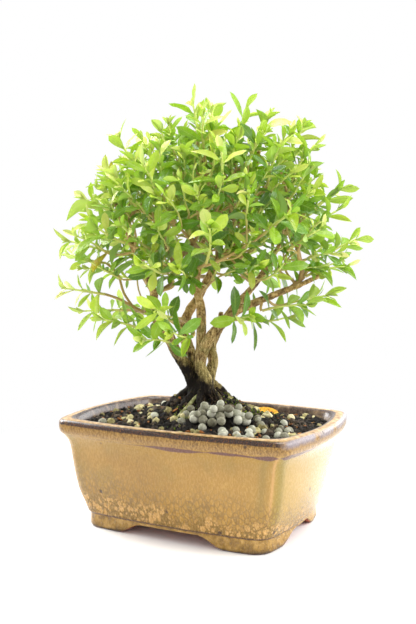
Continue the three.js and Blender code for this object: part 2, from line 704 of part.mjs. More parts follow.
// Shoot and leaves as one closed skin. `leaves` holds one entry for each leaf place, null where none grew.
function buildSpray(shoot, leaves) {
  const nodes = pairShares().map((share) => share * shoot.length);
  const stops = [0, ...nodes.flatMap((node) => [node - NODE_HALF_LENGTH, node + NODE_HALF_LENGTH])];
  const rings = stops.map((stop) => {
    const radius = SHOOT_RADIUS * (1 - (SHOOT_TAPER * stop) / shoot.length);
    return shootRing(shoot, stop, radius);
  });
  const points = rings.flat();
  const triangles = [0, 3, 2, 0, 2, 1];
  for (let ring = 0; ring + 1 < rings.length; ring += 1) {
    const pair = ring % 2 === 1 ? (ring - 1) / 2 : null;
    for (let side = 0; side < 4; side += 1) {
      const low = ring * 4 + side;
      const lowNext = ring * 4 + ((side + 1) % 4);
      triangles.push(low, lowNext, lowNext + 4);
      const quarter = (side + 4 * PAIRS - pair) % 4; // 0 and 2 face the pair's two leaves
      const leaf = pair === null || quarter % 2 === 1 ? null : leaves[2 * pair + quarter / 2];
      if (leaf) addBlade(points, triangles, leaf, [low, lowNext + 4, low + 4]);
      else triangles.push(low, lowNext + 4, low + 4);
    }
  }
  const last = (rings.length - 1) * 4;
  triangles.push(last, last + 1, last + 2, last, last + 2, last + 3);
  const geometry = new THREE.BufferGeometry();
  const numbers = points.flatMap((point) => point.toArray());
  geometry.setAttribute('position', new THREE.Float32BufferAttribute(numbers, 3));
  geometry.setIndex(triangles);
  geometry.computeVertexNormals();
  return geometry;
}

// ---------------------------------------------------------------- soil and what lies on it

function pellet(x, y, z, random) {
  const ball = new THREE.IcosahedronGeometry(PELLET_RADIUS, 0);
  ball.rotateX(2 * Math.PI * random());
  ball.rotateZ(2 * Math.PI * random());
  return solidOf(ball.translate(x, y, z));
}

function heapFrame(x, y) {
  const along = (x - HEAP.x) * Math.cos(HEAP.turn) + (y - HEAP.y) * Math.sin(HEAP.turn);
  const across = -(x - HEAP.x) * Math.sin(HEAP.turn) + (y - HEAP.y) * Math.cos(HEAP.turn);
  return Math.hypot(along / HEAP.length, across / HEAP.width);
}

function coreHeight(x, y) {
  const place = Math.min(1, heapFrame(x, y));
  return soilHeight(x, y) + HEAP_CORE.rise * (1 - place ** 2);
}

// The heap's hidden lower pellets, as one low mound that reaches into the soil.
function heapCore() {
  const rings = [];
  const ringAt = (scale, heightAt) => {
    const ring = [];
    for (let step = 0; step < HEAP_CORE.sides; step += 1) {
      const angle = (2 * Math.PI * step) / HEAP_CORE.sides;
      const along = HEAP_CORE.length * scale * Math.cos(angle);
      const across = HEAP_CORE.width * scale * Math.sin(angle);
      const x = HEAP.x + along * Math.cos(HEAP.turn) - across * Math.sin(HEAP.turn);
      const y = HEAP.y + along * Math.sin(HEAP.turn) + across * Math.cos(HEAP.turn);
      ring.push(new THREE.Vector3(x, y, heightAt(x, y)));
    }
    return ring;
  };
  rings.push(ringAt(1, (x, y) => soilHeight(x, y) - HEAP_CORE.sunk));
  for (const scale of HEAP_CORE.loops) rings.push(ringAt(scale, coreHeight));
  return loft(rings);
}

function heapPellets() {
  const random = seededRandom(CROWN_SEED + 2);
  const pellets = [];
  const reach = Math.ceil(HEAP.length / PELLET_SPACING) + 1;
  const rowSpacing = (PELLET_SPACING * Math.sqrt(3)) / 2;
  for (let row = -reach; row <= reach; row += 1) {
    for (let column = -reach; column <= reach; column += 1) {
      const shift = 0.5 * Math.abs(row % 2);
      const x = HEAP.x + (column + shift) * PELLET_SPACING + PELLET_JITTER * (random() - 0.5);
      const y = HEAP.y + row * rowSpacing + PELLET_JITTER * (random() - 0.5);
      if (heapFrame(x, y) < 1) pellets.push(pellet(x, y, coreHeight(x, y) + PELLET_STANDING, random));
    }
  }
  return pellets;
}

function nearFallenLeaf(x, y) {
  return Math.hypot(x - FALLEN_LEAF.x, y - FALLEN_LEAF.y) < FALLEN_LEAF.length;
}

// Whether a loose bit may lie at a place: on open soil, inside the pot's round corners.
function isOpenSoil(x, y, halfLength, halfDepth) {
  const pastLength = Math.max(0, Math.abs(x) - halfLength + BITS_CORNER);
  const pastDepth = Math.max(0, Math.abs(y) - halfDepth + BITS_CORNER);
  const nearTrunk = Math.hypot(x - TRUNK_X, y) <= TRUNK_CLEARING;
  const inCorner = Math.hypot(pastLength, pastDepth) >= BITS_CORNER;
  return heapFrame(x, y) > HEAP_CLEARING && !nearFallenLeaf(x, y) && !nearTrunk && !inCorner;
}

// Loose chips of bark and grit, and a few strewn pellets, which stand out of the soil's surface.
function soilBits() {
  const random = seededRandom(CROWN_SEED + 3);
  const bits = [];
  const halfLength = RIM.length / 2 - BITS_INSET;
  const halfDepth = RIM.depth / 2 - BITS_INSET;
  while (bits.length < CHIP_COUNT + STREWN_PELLETS) {
    const x = halfLength * (2 * random() - 1);
    const y = halfDepth * (2 * random() - 1);
    if (!isOpenSoil(x, y, halfLength, halfDepth)) continue;
    if (bits.length < STREWN_PELLETS) {
      bits.push(pellet(x, y, soilHeight(x, y) + PELLET_STANDING, random));
    } else {
      const size = between(...CHIP_SIZE, random());
      const chip = new THREE.OctahedronGeometry(size, 0);
      chip.scale(1, between(...CHIP_WIDTH, random()), CHIP_HEIGHT);
      chip.rotateY(CHIP_TILT * (random() - 0.5));
      chip.rotateZ(2 * Math.PI * random());
      bits.push(solidOf(chip.translate(x, y, soilHeight(x, y) + CHIP_STANDING)));
    }
  }
  return bits;
}

// The pot's inner wall at a height: the share, the inset and the corner radius of its outline.
function wallAt(height) {
  const below = POT_INNER_PROFILE.findIndex(([, , level]) => level <= height);
  const [upperShare, upperInset, upperLevel, upperRadius] = POT_INNER_PROFILE[below - 1];
  const [lowerShare, lowerInset, lowerLevel, lowerRadius] = POT_INNER_PROFILE[below];
  const rise = (height - lowerLevel) / (upperLevel - lowerLevel);
  return [
    between(lowerShare, upperShare, rise),
    between(lowerInset, upperInset, rise),
    between(lowerRadius, upperRadius, rise),
  ];
}

function soilBody() {
  const side = POT_INNER_PROFILE.filter(([, , height]) => height < SOIL_RIM_HEIGHT).reverse();
  const rings = side.map(([share, inset, height, radius]) => (
    potOutline(share, inset + MATING_GAP, height + MATING_GAP, radius)
  ));
  const [spread, edge, corner] = wallAt(SOIL_RIM_HEIGHT);
  const random = seededRandom(CROWN_SEED + 4);
  for (const scale of SOIL_LOOPS) {
    rings.push(potOutline(spread, edge + MATING_GAP, 0, corner, scale).map(({ x, y }) => {
      const bare = heapFrame(x, y) < HEAP_BARE || nearFallenLeaf(x, y) || scale === 1;
      const grit = bare ? 0 : SOIL_GRIT * (random() - 0.5);
      return new THREE.Vector3(x, y, soilHeight(x, y) + grit);
    }));
  }
  return loft(rings);
}

// A blade that reaches below the soil's surface; the soil, raised by the gap, then trims its underside.
function buildFallenLeaf() {
  const { x, y, length, width, sunk, standing, heading } = FALLEN_LEAF;
  const shape = new THREE.Shape();
  const widest = -length * FALLEN_LEAF_WIDEST;
  shape.moveTo(-length / 2, 0);
  shape.quadraticCurveTo(widest, -width, length / 2, 0);
  shape.quadraticCurveTo(widest, width, -length / 2, 0);
  const depth = sunk + standing;
  const blade = new THREE.ExtrudeGeometry(shape, { depth, bevelEnabled: false, curveSegments: 5 });
  const slopeX = (soilHeight(x + SLOPE_REACH, y) - soilHeight(x - SLOPE_REACH, y)) / (2 * SLOPE_REACH);
  const slopeY = (soilHeight(x, y + SLOPE_REACH) - soilHeight(x, y - SLOPE_REACH)) / (2 * SLOPE_REACH);
  const normal = new THREE.Vector3(-slopeX, -slopeY, 1).normalize();
  blade.rotateZ(heading);
  blade.applyQuaternion(new THREE.Quaternion().setFromUnitVectors(UP, normal));
  return solidOf(blade.translate(x, y, soilHeight(x, y) - sunk));
}

// ---------------------------------------------------------------- assembly

function addPiece(group, name, geometry, material, x = 0) {
  const mesh = new THREE.Mesh(geometry, material);
  mesh.name = name;
  mesh.position.x = x;
  group.add(mesh);
}

function buildBonsai() {
  const bonsai = new THREE.Group();
  const random = seededRandom(CROWN_SEED);
  const shoots = sprayTips().map((tip) => shootAt(tip, random));
  const wood = growWood(shoots);
  const trunkHole = buildWood(wood, MATING_GAP);
  const pockets = [meshPocket(-DRAIN_OFFSET), meshPocket(DRAIN_OFFSET)];
  const soil = largestBody(fuse([soilBody(), ...soilBits()]).subtract(fuse([trunkHole, ...pockets])));
  const bed = fuse([soil, soil.translate([0, 0, MATING_GAP]), trunkHole]);
  const heap = largestBody(fuse([heapCore(), ...heapPellets()]).subtract(bed));
  const fallenLeaf = largestBody(buildFallenLeaf().subtract(bed));

  addPiece(bonsai, 'pot', geometryOf(buildPot()), GLAZE);
  addPiece(bonsai, 'drain_mesh_left', meshSquare(), MESH_PLASTIC, -DRAIN_OFFSET);
  addPiece(bonsai, 'drain_mesh_right', meshSquare(), MESH_PLASTIC, DRAIN_OFFSET);
  addPiece(bonsai, 'soil', geometryOf(soil), SOIL_FINISH);
  addPiece(bonsai, 'pellet_heap', geometryOf(heap), PELLET_FINISH);
  addPiece(bonsai, 'fallen_leaf', geometryOf(fallenLeaf), LEAF_YELLOW);
  addPiece(bonsai, 'trunk', geometryOf(buildWood(wood, 0)), BARK);
  growSprays(shoots, wood).forEach((leaves, index) => {
    const name = `spray_${String(index + 1).padStart(2, '0')}`;
    addPiece(bonsai, name, buildSpray(shoots[index], leaves), LEAF_GREEN);
  });
  return bonsai;
}

const bonsai = buildBonsai();
bonsai.updateMatrixWorld(true);

export default bonsai;
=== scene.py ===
"""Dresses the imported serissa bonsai: bark, leaves, soil, pellets and the glazed pot.

Growth rules work in millimetres, as the solids do, and meshes are written in metres. +Z is up, the
pot's long side runs along X and its front faces -Y.
"""

import json
import logging
import math
from collections.abc import Callable, Sequence
from dataclasses import dataclass, field
from enum import Enum
from itertools import product
from typing import Any

import bmesh
import bpy
import numpy as np
from mathutils import Matrix, Vector, noise

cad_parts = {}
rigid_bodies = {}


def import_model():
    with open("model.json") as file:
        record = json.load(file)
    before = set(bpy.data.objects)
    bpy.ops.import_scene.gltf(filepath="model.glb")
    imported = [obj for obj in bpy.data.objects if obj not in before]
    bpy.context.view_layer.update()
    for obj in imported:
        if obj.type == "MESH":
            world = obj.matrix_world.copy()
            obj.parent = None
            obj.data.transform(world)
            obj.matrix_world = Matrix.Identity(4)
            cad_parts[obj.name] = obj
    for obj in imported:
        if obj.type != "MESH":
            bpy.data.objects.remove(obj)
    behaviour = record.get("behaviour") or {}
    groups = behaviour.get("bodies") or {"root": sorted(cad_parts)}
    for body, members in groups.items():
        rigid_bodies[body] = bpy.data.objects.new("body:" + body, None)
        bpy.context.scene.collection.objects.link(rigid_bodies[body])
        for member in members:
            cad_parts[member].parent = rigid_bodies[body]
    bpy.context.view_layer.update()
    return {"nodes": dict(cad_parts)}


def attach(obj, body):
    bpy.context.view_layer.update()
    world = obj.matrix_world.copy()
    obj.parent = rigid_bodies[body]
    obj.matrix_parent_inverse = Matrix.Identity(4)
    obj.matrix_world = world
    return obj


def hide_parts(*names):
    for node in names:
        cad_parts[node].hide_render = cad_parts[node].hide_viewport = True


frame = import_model()

LOG = logging.getLogger("serissa")
MM = 0.001
UP = np.array([0.0, 0.0, 1.0])
GOLDEN_ANGLE = math.pi * (3 - math.sqrt(5))
Point = np.ndarray
Balls = tuple[Point, Point]
Path = tuple[Point, Sequence[float], Sequence[float]]
Random = Callable[[], float]
Density = Callable[[float, float], float]
Colour = tuple[int, int, int]
Stops = Sequence[tuple[float, Colour]]


# ---------------------------------------------------------------- numbers and vectors


class Draw:
    """The seeded stream of numbers that the solids were grown with."""

    MASK = 0xFFFFFFFF
    STRIDE = 0x6D2B79F5

    def __init__(self, seed: int) -> None:
        """Starts the stream at a seed."""
        self.state = seed & self.MASK

    def __call__(self) -> float:
        """Returns the next number, from 0 up to 1.

        Returns:
            The number.
        """
        self.state = (self.state + self.STRIDE) & self.MASK
        mixed = ((self.state ^ (self.state >> 15)) * (1 | self.state)) & self.MASK
        mixed = (mixed + (((mixed ^ (mixed >> 7)) * (61 | mixed)) & self.MASK)) & self.MASK ^ mixed
        return (mixed ^ (mixed >> 14)) / (self.MASK + 1)


def between(low: float, high: float, share: float) -> float:
    """Returns the value at a share of the way from low to high."""
    return low + (high - low) * share


def unit(vector: Point) -> Point:
    """Returns the vector at length one."""
    return vector / np.linalg.norm(vector)


def sideways(axis: Point, angle: float) -> Point:
    """Returns a unit vector square to an axis.

    Args:
        axis: The unit axis.
        angle: The turn round it, in radians.

    Returns:
        The unit vector.
    """
    reference = UP if abs(axis[2]) < 0.9 else np.array([1.0, 0.0, 0.0])
    side = unit(np.cross(reference, axis))
    return side * math.cos(angle) + np.cross(axis, side) * math.sin(angle)


def smooth_path(points: Point, steps: int) -> Point:
    """Samples a Catmull-Rom curve through waypoints.

    Args:
        points: The waypoints, one row each, with any number of columns.
        steps: How many equal steps of the curve's parameter to take.

    Returns:
        The steps + 1 sampled rows.
    """
    rows = np.vstack([2 * points[0] - points[1], points, 2 * points[-1] - points[-2]])
    last = len(points) - 1
    sampled = []
    for step in range(steps + 1):
        place = last * step / steps
        start = min(int(place), last - 1)
        share = place - start
        before, first, second, after = rows[start : start + 4]
        leaving = 0.5 * (second - before)
        arriving = 0.5 * (after - first)
        cubic = 2 * first - 2 * second + leaving + arriving
        square = -3 * first + 3 * second - 2 * leaving - arriving
        sampled.append(((cubic * share + square) * share + leaving) * share + first)
    return np.array(sampled)


# ---------------------------------------------------------------- node trees


def _operator(operation: str, swapped: bool = False) -> Callable[..., "Wire"]:
    """Returns the Wire method that stands for a Math operation, with its sides swapped on request.

    Args:
        operation: The Math node's operation.
        swapped: Whether the wire is its second value.

    Returns:
        The method.
    """

    def method(self: "Wire", *other: "Wire | float") -> "Wire":
        """Adds a Math node over this wire and the other value."""
        sides = (*other, self) if swapped else (self, *other)
        return self.tree.wire("ShaderNodeMath", {"operation": operation}, dict(enumerate(sides)))

    return method


class Wire:
    """A node's output that takes part in Python expressions, each of which adds its Math node."""

    __add__ = _operator("ADD")
    __radd__ = _operator("ADD", swapped=True)
    __sub__ = _operator("SUBTRACT")
    __rsub__ = _operator("SUBTRACT", swapped=True)
    __mul__ = _operator("MULTIPLY")
    __rmul__ = _operator("MULTIPLY", swapped=True)
    __abs__ = _operator("ABSOLUTE")
    sine = _operator("SINE")

    def __init__(self, tree: "Tree", socket: bpy.types.NodeSocket) -> None:
        """Wraps an output socket of a tree."""
        self.tree = tree
        self.socket = socket

    def step(self, low: float, high: float) -> "Wire":
        """Rises smoothly from 0 at low to 1 at high, or falls where low is the larger.

        Args:
            low: The value that gives 0.
            high: The value that gives 1.

        Returns:
            The eased value.
        """
        rising = low <= high
        inputs = {0: self, 1: min(low, high), 2: max(low, high), 3: 1.0 - rising, 4: float(rising)}
        return self.tree.wire("ShaderNodeMapRange", {"interpolation_type": "SMOOTHSTEP"}, inputs)

    def bump(self, centre: float, width: float) -> "Wire":
        """Returns a soft peak of height 1 at the centre that reaches 0 a width away."""
        return abs(self - centre).step(width, 0.0)


class Tree:
    """A node tree under construction."""

    def __init__(self, tree: bpy.types.NodeTree) -> None:
        """Wraps a node tree."""
        self.tree = tree

    def plug(self, value: Any, socket: bpy.types.NodeSocket) -> None:
        """Links a wire or an output to an input socket, or gives the socket a plain value.

        Args:
            value: A wire, an output or a plain value.
            socket: The input socket.
        """
        source = value.socket if isinstance(value, Wire) else value
        if isinstance(source, bpy.types.NodeSocket):
            self.tree.links.new(source, socket)
        else:
            socket.default_value = source

    def add(self, kind: str, settings: dict | None = None, inputs: dict | None = None) -> bpy.types.Node:
        """Adds any node.

        Args:
            kind: The node's type.
            settings: Its own settings, set before its sockets, where "stops" fills its ramp.
            inputs: Values, wires or sockets for its sockets, by name or by number.

        Returns:
            The node.
        """
        node = self.tree.nodes.new(kind)
        for name, value in (settings or {}).items():
            if name == "stops":
                self._fill_ramp(node.color_ramp.elements, value)
            else:
                setattr(node, name, value)
        for name, value in (inputs or {}).items():
            self.plug(value, node.inputs[name])
        return node

    @staticmethod
    def _fill_ramp(elements: bpy.types.ColorRampElements, stops: Stops) -> None:
        """Gives a ramp its stops.

        Args:
            elements: The new ramp's own elements.
            stops: The place and the display colour of each stop.
        """
        elements.remove(elements[-1])
        for index, (place, colour) in enumerate(stops):
            stop = elements.new(place) if index else elements[0]
            stop.position = place
            stop.color = paint(colour)

    def wire(self, kind: str, settings: dict | None = None, inputs: dict | None = None, out: Any = 0) -> Wire:
        """Adds any node, as add does, and returns the output of the name or number given."""
        return Wire(self, self.add(kind, settings, inputs).outputs[out])


def paint(colour: Colour) -> tuple[float, ...]:
    """Returns a display colour of 0 to 255 as a scene colour.

    Args:
        colour: Its red, green and blue.

    Returns:
        Its linear red, green and blue and an opacity of 1.
    """
    levels = [channel / 255 for channel in colour]
    linear = [level / 12.92 if level <= 0.04045 else ((level + 0.055) / 1.055) ** 2.4 for level in levels]
    return (*linear, 1.0)


class Recipe(Tree):
    """A surface material under construction, on object coordinates in metres."""

    def __init__(self, name: str, roughness: float = 0.5, gloss: float = 0.5) -> None:
        """Starts a material.

        Args:
            name: The material's name.
            roughness: Its roughness, where nothing is linked to it.
            gloss: Its specular level.
        """
        self.material = bpy.data.materials.new(name)
        self.material.use_nodes = True
        super().__init__(self.material.node_tree)
        self.tree.nodes.clear()
        inputs = {"Roughness": roughness, "Specular IOR Level": gloss}
        self.shader = self.add("ShaderNodeBsdfPrincipled", None, inputs)
        self.output = self.add("ShaderNodeOutputMaterial", None, {"Surface": self.shader.outputs[0]})
        self.place = self.wire("ShaderNodeTexCoord", out="Object")
        self.colour: Wire | None = None

    def feed(self, name: str, value: Wire | float) -> None:
        """Links or sets one socket of the main shader."""
        self.plug(value, self.shader.inputs[name])

    def base(self, colour: Wire) -> None:
        """Makes a colour the shader's, so far."""
        self.colour = colour
        self.feed("Base Color", colour)

    def coat(self, share: Wire | float, colour: Wire | Colour) -> None:
        """Lays a share of another colour over the shader's."""
        self.base(self.mix(share, self.colour, colour))

    def blend(self, share: Wire | float, kind: str, inputs: dict[str, Any]) -> None:
        """Blends a share of another kind of shader into the result."""
        both = {0: share, 1: self.shader.outputs[0], 2: self.add(kind, None, inputs).outputs[0]}
        self.plug(self.wire("ShaderNodeMixShader", None, both), self.output.inputs["Surface"])

    def attribute(self, name: str) -> Wire:
        """Returns a named value of the mesh."""
        return self.wire("ShaderNodeAttribute", {"attribute_name": name}, out="Fac")

    def axes(self, place: Wire | None = None) -> tuple[Wire, ...]:
        """Returns a vector's three parts, by default those of the place."""
        node = self.add("ShaderNodeSeparateXYZ", None, {0: place or self.place})
        return tuple(Wire(self, socket) for socket in node.outputs)

    def stretched(self, scale: tuple[float, float, float]) -> Wire:
        """Returns the place with its axes scaled."""
        return self.wire("ShaderNodeMapping", None, {0: self.place, "Scale": scale})

    def cloud(
        self, scale: float, detail: float = 3, rough: float = 0.55, place: Wire | None = None, warp: float = 0
    ) -> Wire:
        """Returns noise about 0.5.

        Args:
            scale: Features per metre.
            detail: Octaves.
            rough: How strong the finer octaves are.
            place: Where it is read, by default the object's place.
            warp: How far it is distorted.

        Returns:
            The noise.
        """
        inputs = {"Scale": scale, "Detail": detail, "Roughness": rough, "Distortion": warp}
        return self.wire("ShaderNodeTexNoise", None, {"Vector": place or self.place, **inputs})

    def cells(
        self, scale: float, place: Wire | None = None, feature: str = "F1", out: str = "Distance"
    ) -> Wire:
        """Returns one output of a cell pattern."""
        inputs = {"Vector": place or self.place, "Scale": scale}
        return self.wire("ShaderNodeTexVoronoi", {"feature": feature}, inputs, out)

    def ramp(self, value: Wire, stops: Stops) -> Wire:
        """Returns the colour of a ramp, given as places and display colours, at a value."""
        return self.wire("ShaderNodeValToRGB", {"stops": stops}, {0: value})

    def mix(self, share: Wire | float, below: Wire | Colour, above: Wire | Colour) -> Wire:
        """Returns one colour with a share of another above it, each a wire or a display colour."""
        low, high = (colour if isinstance(colour, Wire) else paint(colour) for colour in (below, above))
        return self.wire("ShaderNodeMix", {"data_type": "RGBA"}, {0: share, 6: low, 7: high}, 2)

    def lift(self, height: Wire, depth: float, strength: float = 1.0) -> None:
        """Feeds a relief of a depth in metres to the shader's normal."""
        inputs = {"Height": height, "Distance": depth, "Strength": strength}
        self.feed("Normal", self.wire("ShaderNodeBump", None, inputs))


class Builder(Tree):
    """A geometry tree under construction, with named inputs."""

    def __init__(self, name: str) -> None:
        """Starts a tree that takes a geometry and gives one.

        Args:
            name: The tree's name.
        """
        super().__init__(bpy.data.node_groups.new(name, "GeometryNodeTree"))
        for way in ("INPUT", "OUTPUT"):
            self.tree.interface.new_socket("Geometry", in_out=way, socket_type="NodeSocketGeometry")
        self.values: dict[str, Any] = {}
        self.entry = self.tree.nodes.new("NodeGroupInput")
        self.geometry = Wire(self, self.entry.outputs[0])

    def size(self, name: str, value: Any, kind: str = "Float") -> Wire:
        """Adds a named input.

        Args:
            name: The input's name.
            value: The value that the modifier gives it.
            kind: The kind of socket.

        Returns:
            The input as a wire.
        """
        socket = self.tree.interface.new_socket(name, in_out="INPUT", socket_type=f"NodeSocket{kind}")
        self.values[socket.identifier] = value
        return Wire(self, self.entry.outputs[name])

    def attribute(self, name: str, kind: str = "FLOAT") -> Wire:
        """Returns a named attribute."""
        return self.wire("GeometryNodeInputNamedAttribute", {"data_type": kind}, {"Name": name}, "Attribute")

    def chance(self, low: float | tuple, high: float | tuple, seed: int) -> Wire:
        """Returns a seeded random value, a number or a vector, for each element.

        Args:
            low: The least value.
            high: The greatest value.
            seed: The seed.

        Returns:
            The value.
        """
        vector = isinstance(low, tuple)
        first, out, kind = (0, 0, "FLOAT_VECTOR") if vector else (2, 1, "FLOAT")
        inputs = {first: low, first + 1: high, "Seed": seed}
        return self.wire("FunctionNodeRandomValue", {"data_type": kind}, inputs, out)

    def scaled(self, name: str, factor: Wire) -> Wire:
        """Returns a named vector times a factor."""
        inputs = {0: self.attribute(name, "FLOAT_VECTOR"), "Scale": factor}
        return self.wire("ShaderNodeVectorMath", {"operation": "SCALE"}, inputs)

    def scatter(self, shapes: bpy.types.Collection, **placing: Wire) -> Wire:
        """Sets shapes out on points.

        Args:
            shapes: The shapes to pick from, which become a named input.
            **placing: The node's further inputs, with a low line for each space in their names.

        Returns:
            The instances.
        """
        settings = {"Collection": self.size("Shapes", shapes, "Collection"), "Separate Children": True}
        parts = self.wire("GeometryNodeCollectionInfo", None, {**settings, "Reset Children": True})
        inputs = {name.replace("_", " "): value for name, value in placing.items()}
        inputs |= {"Instance": parts, "Pick Instance": True}
        return self.wire("GeometryNodeInstanceOnPoints", None, inputs)

    def make(
        self, source: bpy.types.Mesh, result: Wire, material: bpy.types.Material, smooth: bool = True
    ) -> bpy.types.Mesh:
        """Ends the tree, runs it over a mesh and returns the plain result.

        Args:
            source: The mesh that goes in.
            result: The geometry to give out.
            material: The material of all of it.
            smooth: Whether its faces are shaded smooth.

        Returns:
            The mesh, with no instances left in it.
        """
        real = self.wire("GeometryNodeRealizeInstances", None, {"Geometry": result})
        shaded = self.wire("GeometryNodeSetShadeSmooth", None, {"Geometry": real, "Shade Smooth": smooth})
        dressed = self.wire("GeometryNodeSetMaterial", None, {"Geometry": shaded, "Material": material})
        self.add("NodeGroupOutput", None, {0: dressed})
        carrier = stand("carrier", source)
        modifier = carrier.modifiers.new("rule", "NODES")
        modifier.node_group = self.tree
        for identifier, value in self.values.items():
            modifier[identifier] = value
        return plain_mesh(carrier)


# ---------------------------------------------------------------- meshes and pieces


def stand(name: str, data: bpy.types.ID) -> bpy.types.Object:
    """Makes an object and puts it in the scene.

    Args:
        name: The object's name.
        data: Its mesh, light or camera.

    Returns:
        The object.
    """
    thing = bpy.data.objects.new(name, data)
    bpy.context.scene.collection.objects.link(thing)
    return thing


def plain_mesh(carrier: bpy.types.Object) -> bpy.types.Mesh:
    """Turns an object into the mesh that its modifiers make of it, and removes the object.

    Args:
        carrier: The object.

    Returns:
        The mesh.
    """
    graph = bpy.context.evaluated_depsgraph_get()
    mesh = bpy.data.meshes.new_from_object(carrier.evaluated_get(graph), depsgraph=graph)
    bpy.data.objects.remove(carrier)
    return mesh


def mesh_from(
    name: str, points: Sequence, faces: Sequence = (), edges: Sequence = (), scale: float = MM
) -> bpy.types.Mesh:
    """Makes a mesh from places.

    Args:
        name: The mesh's name.
        points: Its points, in millimetres.
        faces: Its faces, as point numbers.
        edges: Its loose edges, as point numbers.
        scale: The factor on the points.

    Returns:
        The mesh, in metres.
    """
    mesh = bpy.data.meshes.new(name)
    mesh.from_pydata((np.asarray(points) * scale).tolist(), list(edges), list(faces))
    mesh.update()
    return mesh


def set_attribute(mesh: bpy.types.Mesh, name: str, values: Sequence) -> None:
    """Writes one number or one vector for each point of a mesh.

    Args:
        mesh: The mesh.
        name: The attribute's name.
        values: A number or a vector for each point.
    """
    table = np.asarray(values, dtype=float)
    kind, field_name = ("FLOAT_VECTOR", "vector") if table.ndim > 1 else ("FLOAT", "value")
    mesh.attributes.new(name, kind, "POINT").data.foreach_set(field_name, table.ravel())


def vectors_of(mesh: bpy.types.Mesh, kind: str) -> Point:
    """Returns the place ("co") or the "normal" of every point of a mesh, one row each.

    Args:
        mesh: The mesh.
        kind: Which vector is read.

    Returns:
        The vectors.
    """
    values = np.empty(len(mesh.vertices) * 3)
    mesh.vertices.foreach_get(kind, values)
    return values.reshape(-1, 3)


def cover(mesh: bpy.types.Mesh, material: bpy.types.Material) -> bpy.types.Mesh:
    """Shades a mesh smooth, gives all of it one material and returns it.

    Args:
        mesh: The mesh.
        material: The material.

    Returns:
        The same mesh.
    """
    mesh.polygons.foreach_set("use_smooth", np.ones(len(mesh.polygons), dtype=bool))
    mesh.materials.clear()
    mesh.materials.append(material)
    return mesh


def loft_faces(rings: int, count: int, first: int = 0) -> list[tuple[int, ...]]:
    """Returns the faces of a skin over rings of equally many points, closed at both ends.

    Args:
        rings: How many rings.
        count: How many points in each.
        first: The number of the first point.

    Returns:
        The faces, which point outwards where a ring runs anticlockwise seen from the end.
    """
    numbers = [list(range(first + ring * count, first + (ring + 1) * count)) for ring in range(rings)]
    faces: list[tuple[int, ...]] = []
    for low, high in zip(numbers, numbers[1:]):
        faces += zip(low, low[1:] + low[:1], high[1:] + high[:1], high)
    return [*faces, tuple(reversed(numbers[0])), tuple(numbers[-1])]


def tube_rings(points: Point, radii: Sequence[float], sides: int) -> Point:
    """Returns rings of points round a path, all seen the same way.

    Args:
        points: The path's points.
        radii: The radius at each of them.
        sides: How many points a ring has.

    Returns:
        The points of all rings in turn.
    """
    side = sideways(unit(points[1] - points[0]), 0)
    turns = 2 * np.pi * np.arange(sides) / sides
    rings = []
    for index, point in enumerate(points):
        axis = unit(points[min(index + 1, len(points) - 1)] - points[max(index - 1, 0)])
        side = unit(side - axis * np.dot(side, axis))
        other = np.cross(axis, side)
        rings.append(point + radii[index] * (np.cos(turns)[:, None] * side + np.sin(turns)[:, None] * other))
    return np.concatenate(rings)


def fit_piece(name: str, mesh: bpy.types.Mesh, nodes: Sequence[str] = ()) -> None:
    """Puts a finished mesh on show as a piece of the bonsai.

    Args:
        name: The piece's name.
        mesh: Its mesh, in place.
        nodes: The solids that it stands for.
    """
    mesh.name = name
    piece = stand(name, mesh)
    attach(piece, "root")
    if nodes:
        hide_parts(*nodes)
    triangles = sum(len(face.vertices) - 2 for face in mesh.polygons)
    LOG.info("%s: %d triangles, stands for %s", name, triangles, ", ".join(nodes) or "nothing")


def relief(points: Point, scale: tuple[float, float, float], octaves: int, seed: float) -> Point:
    """Returns fractal noise at each point, about zero.

    Args:
        points: Places in millimetres.
        scale: Features per millimetre along each axis.
        octaves: Layers of noise.
        seed: A shift that makes one relief unlike another.

    Returns:
        The noise, one value for each point.
    """
    stretched = points * np.array(scale) + seed
    return np.array([noise.fractal(Vector(place), 0.9, 2.1, octaves) for place in stretched])


# ---------------------------------------------------------------- growth


@dataclass
class Limb:
    """A stem or a twig: its axis, its radii and what it springs from."""

    points: Point
    radii: Point | None = None
    parent: int | None = None
    foot: int = 0
    loads: Point | None = None


@dataclass
class Shoot:
    """A leafy end of a twig."""

    tip: Point
    heading: Point
    length: float
    start: Point
    turn: float
    group: int = 0
    vigour: float = 1.0
    bow: float = 0.0

    def point(self, share: float) -> Point:
        """Returns the place at a share of its bowed axis.

        Args:
            share: The share, 0 at the foot.

        Returns:
            The place.
        """
        side = sideways(self.heading, 2.7 * self.turn + 0.6)
        straight = self.start + self.heading * (self.length * share)
        return straight + side * (4 * self.bow * self.length * share * (1 - share))


@dataclass
class Leaf:
    """A blade as its own axes, in millimetres."""

    foot: Point
    along: Point
    across: Point
    face: Point
    length: float
    width: float
    arch: float
    age: float = 0.5
    tint: float = 0.0
    group: int = 0
    shape: int = 0

    def point(self, share: float) -> Point:
        """Returns the place at a share of the midrib."""
        sag = self.arch * self.length * share * share
        return self.foot + self.along * (self.length * share) - self.face * sag

    def balls(self) -> tuple[Point, Point]:
        """Returns centres and radii of balls along the midrib.

        Returns:
            The centres and the radii.
        """
        shares = (0.3, 0.55, 0.8, 1.0)
        radius = (self.width / 2) * 0.9
        return np.array([self.point(share) for share in shares]), np.array([radius, radius, radius, 0.6])


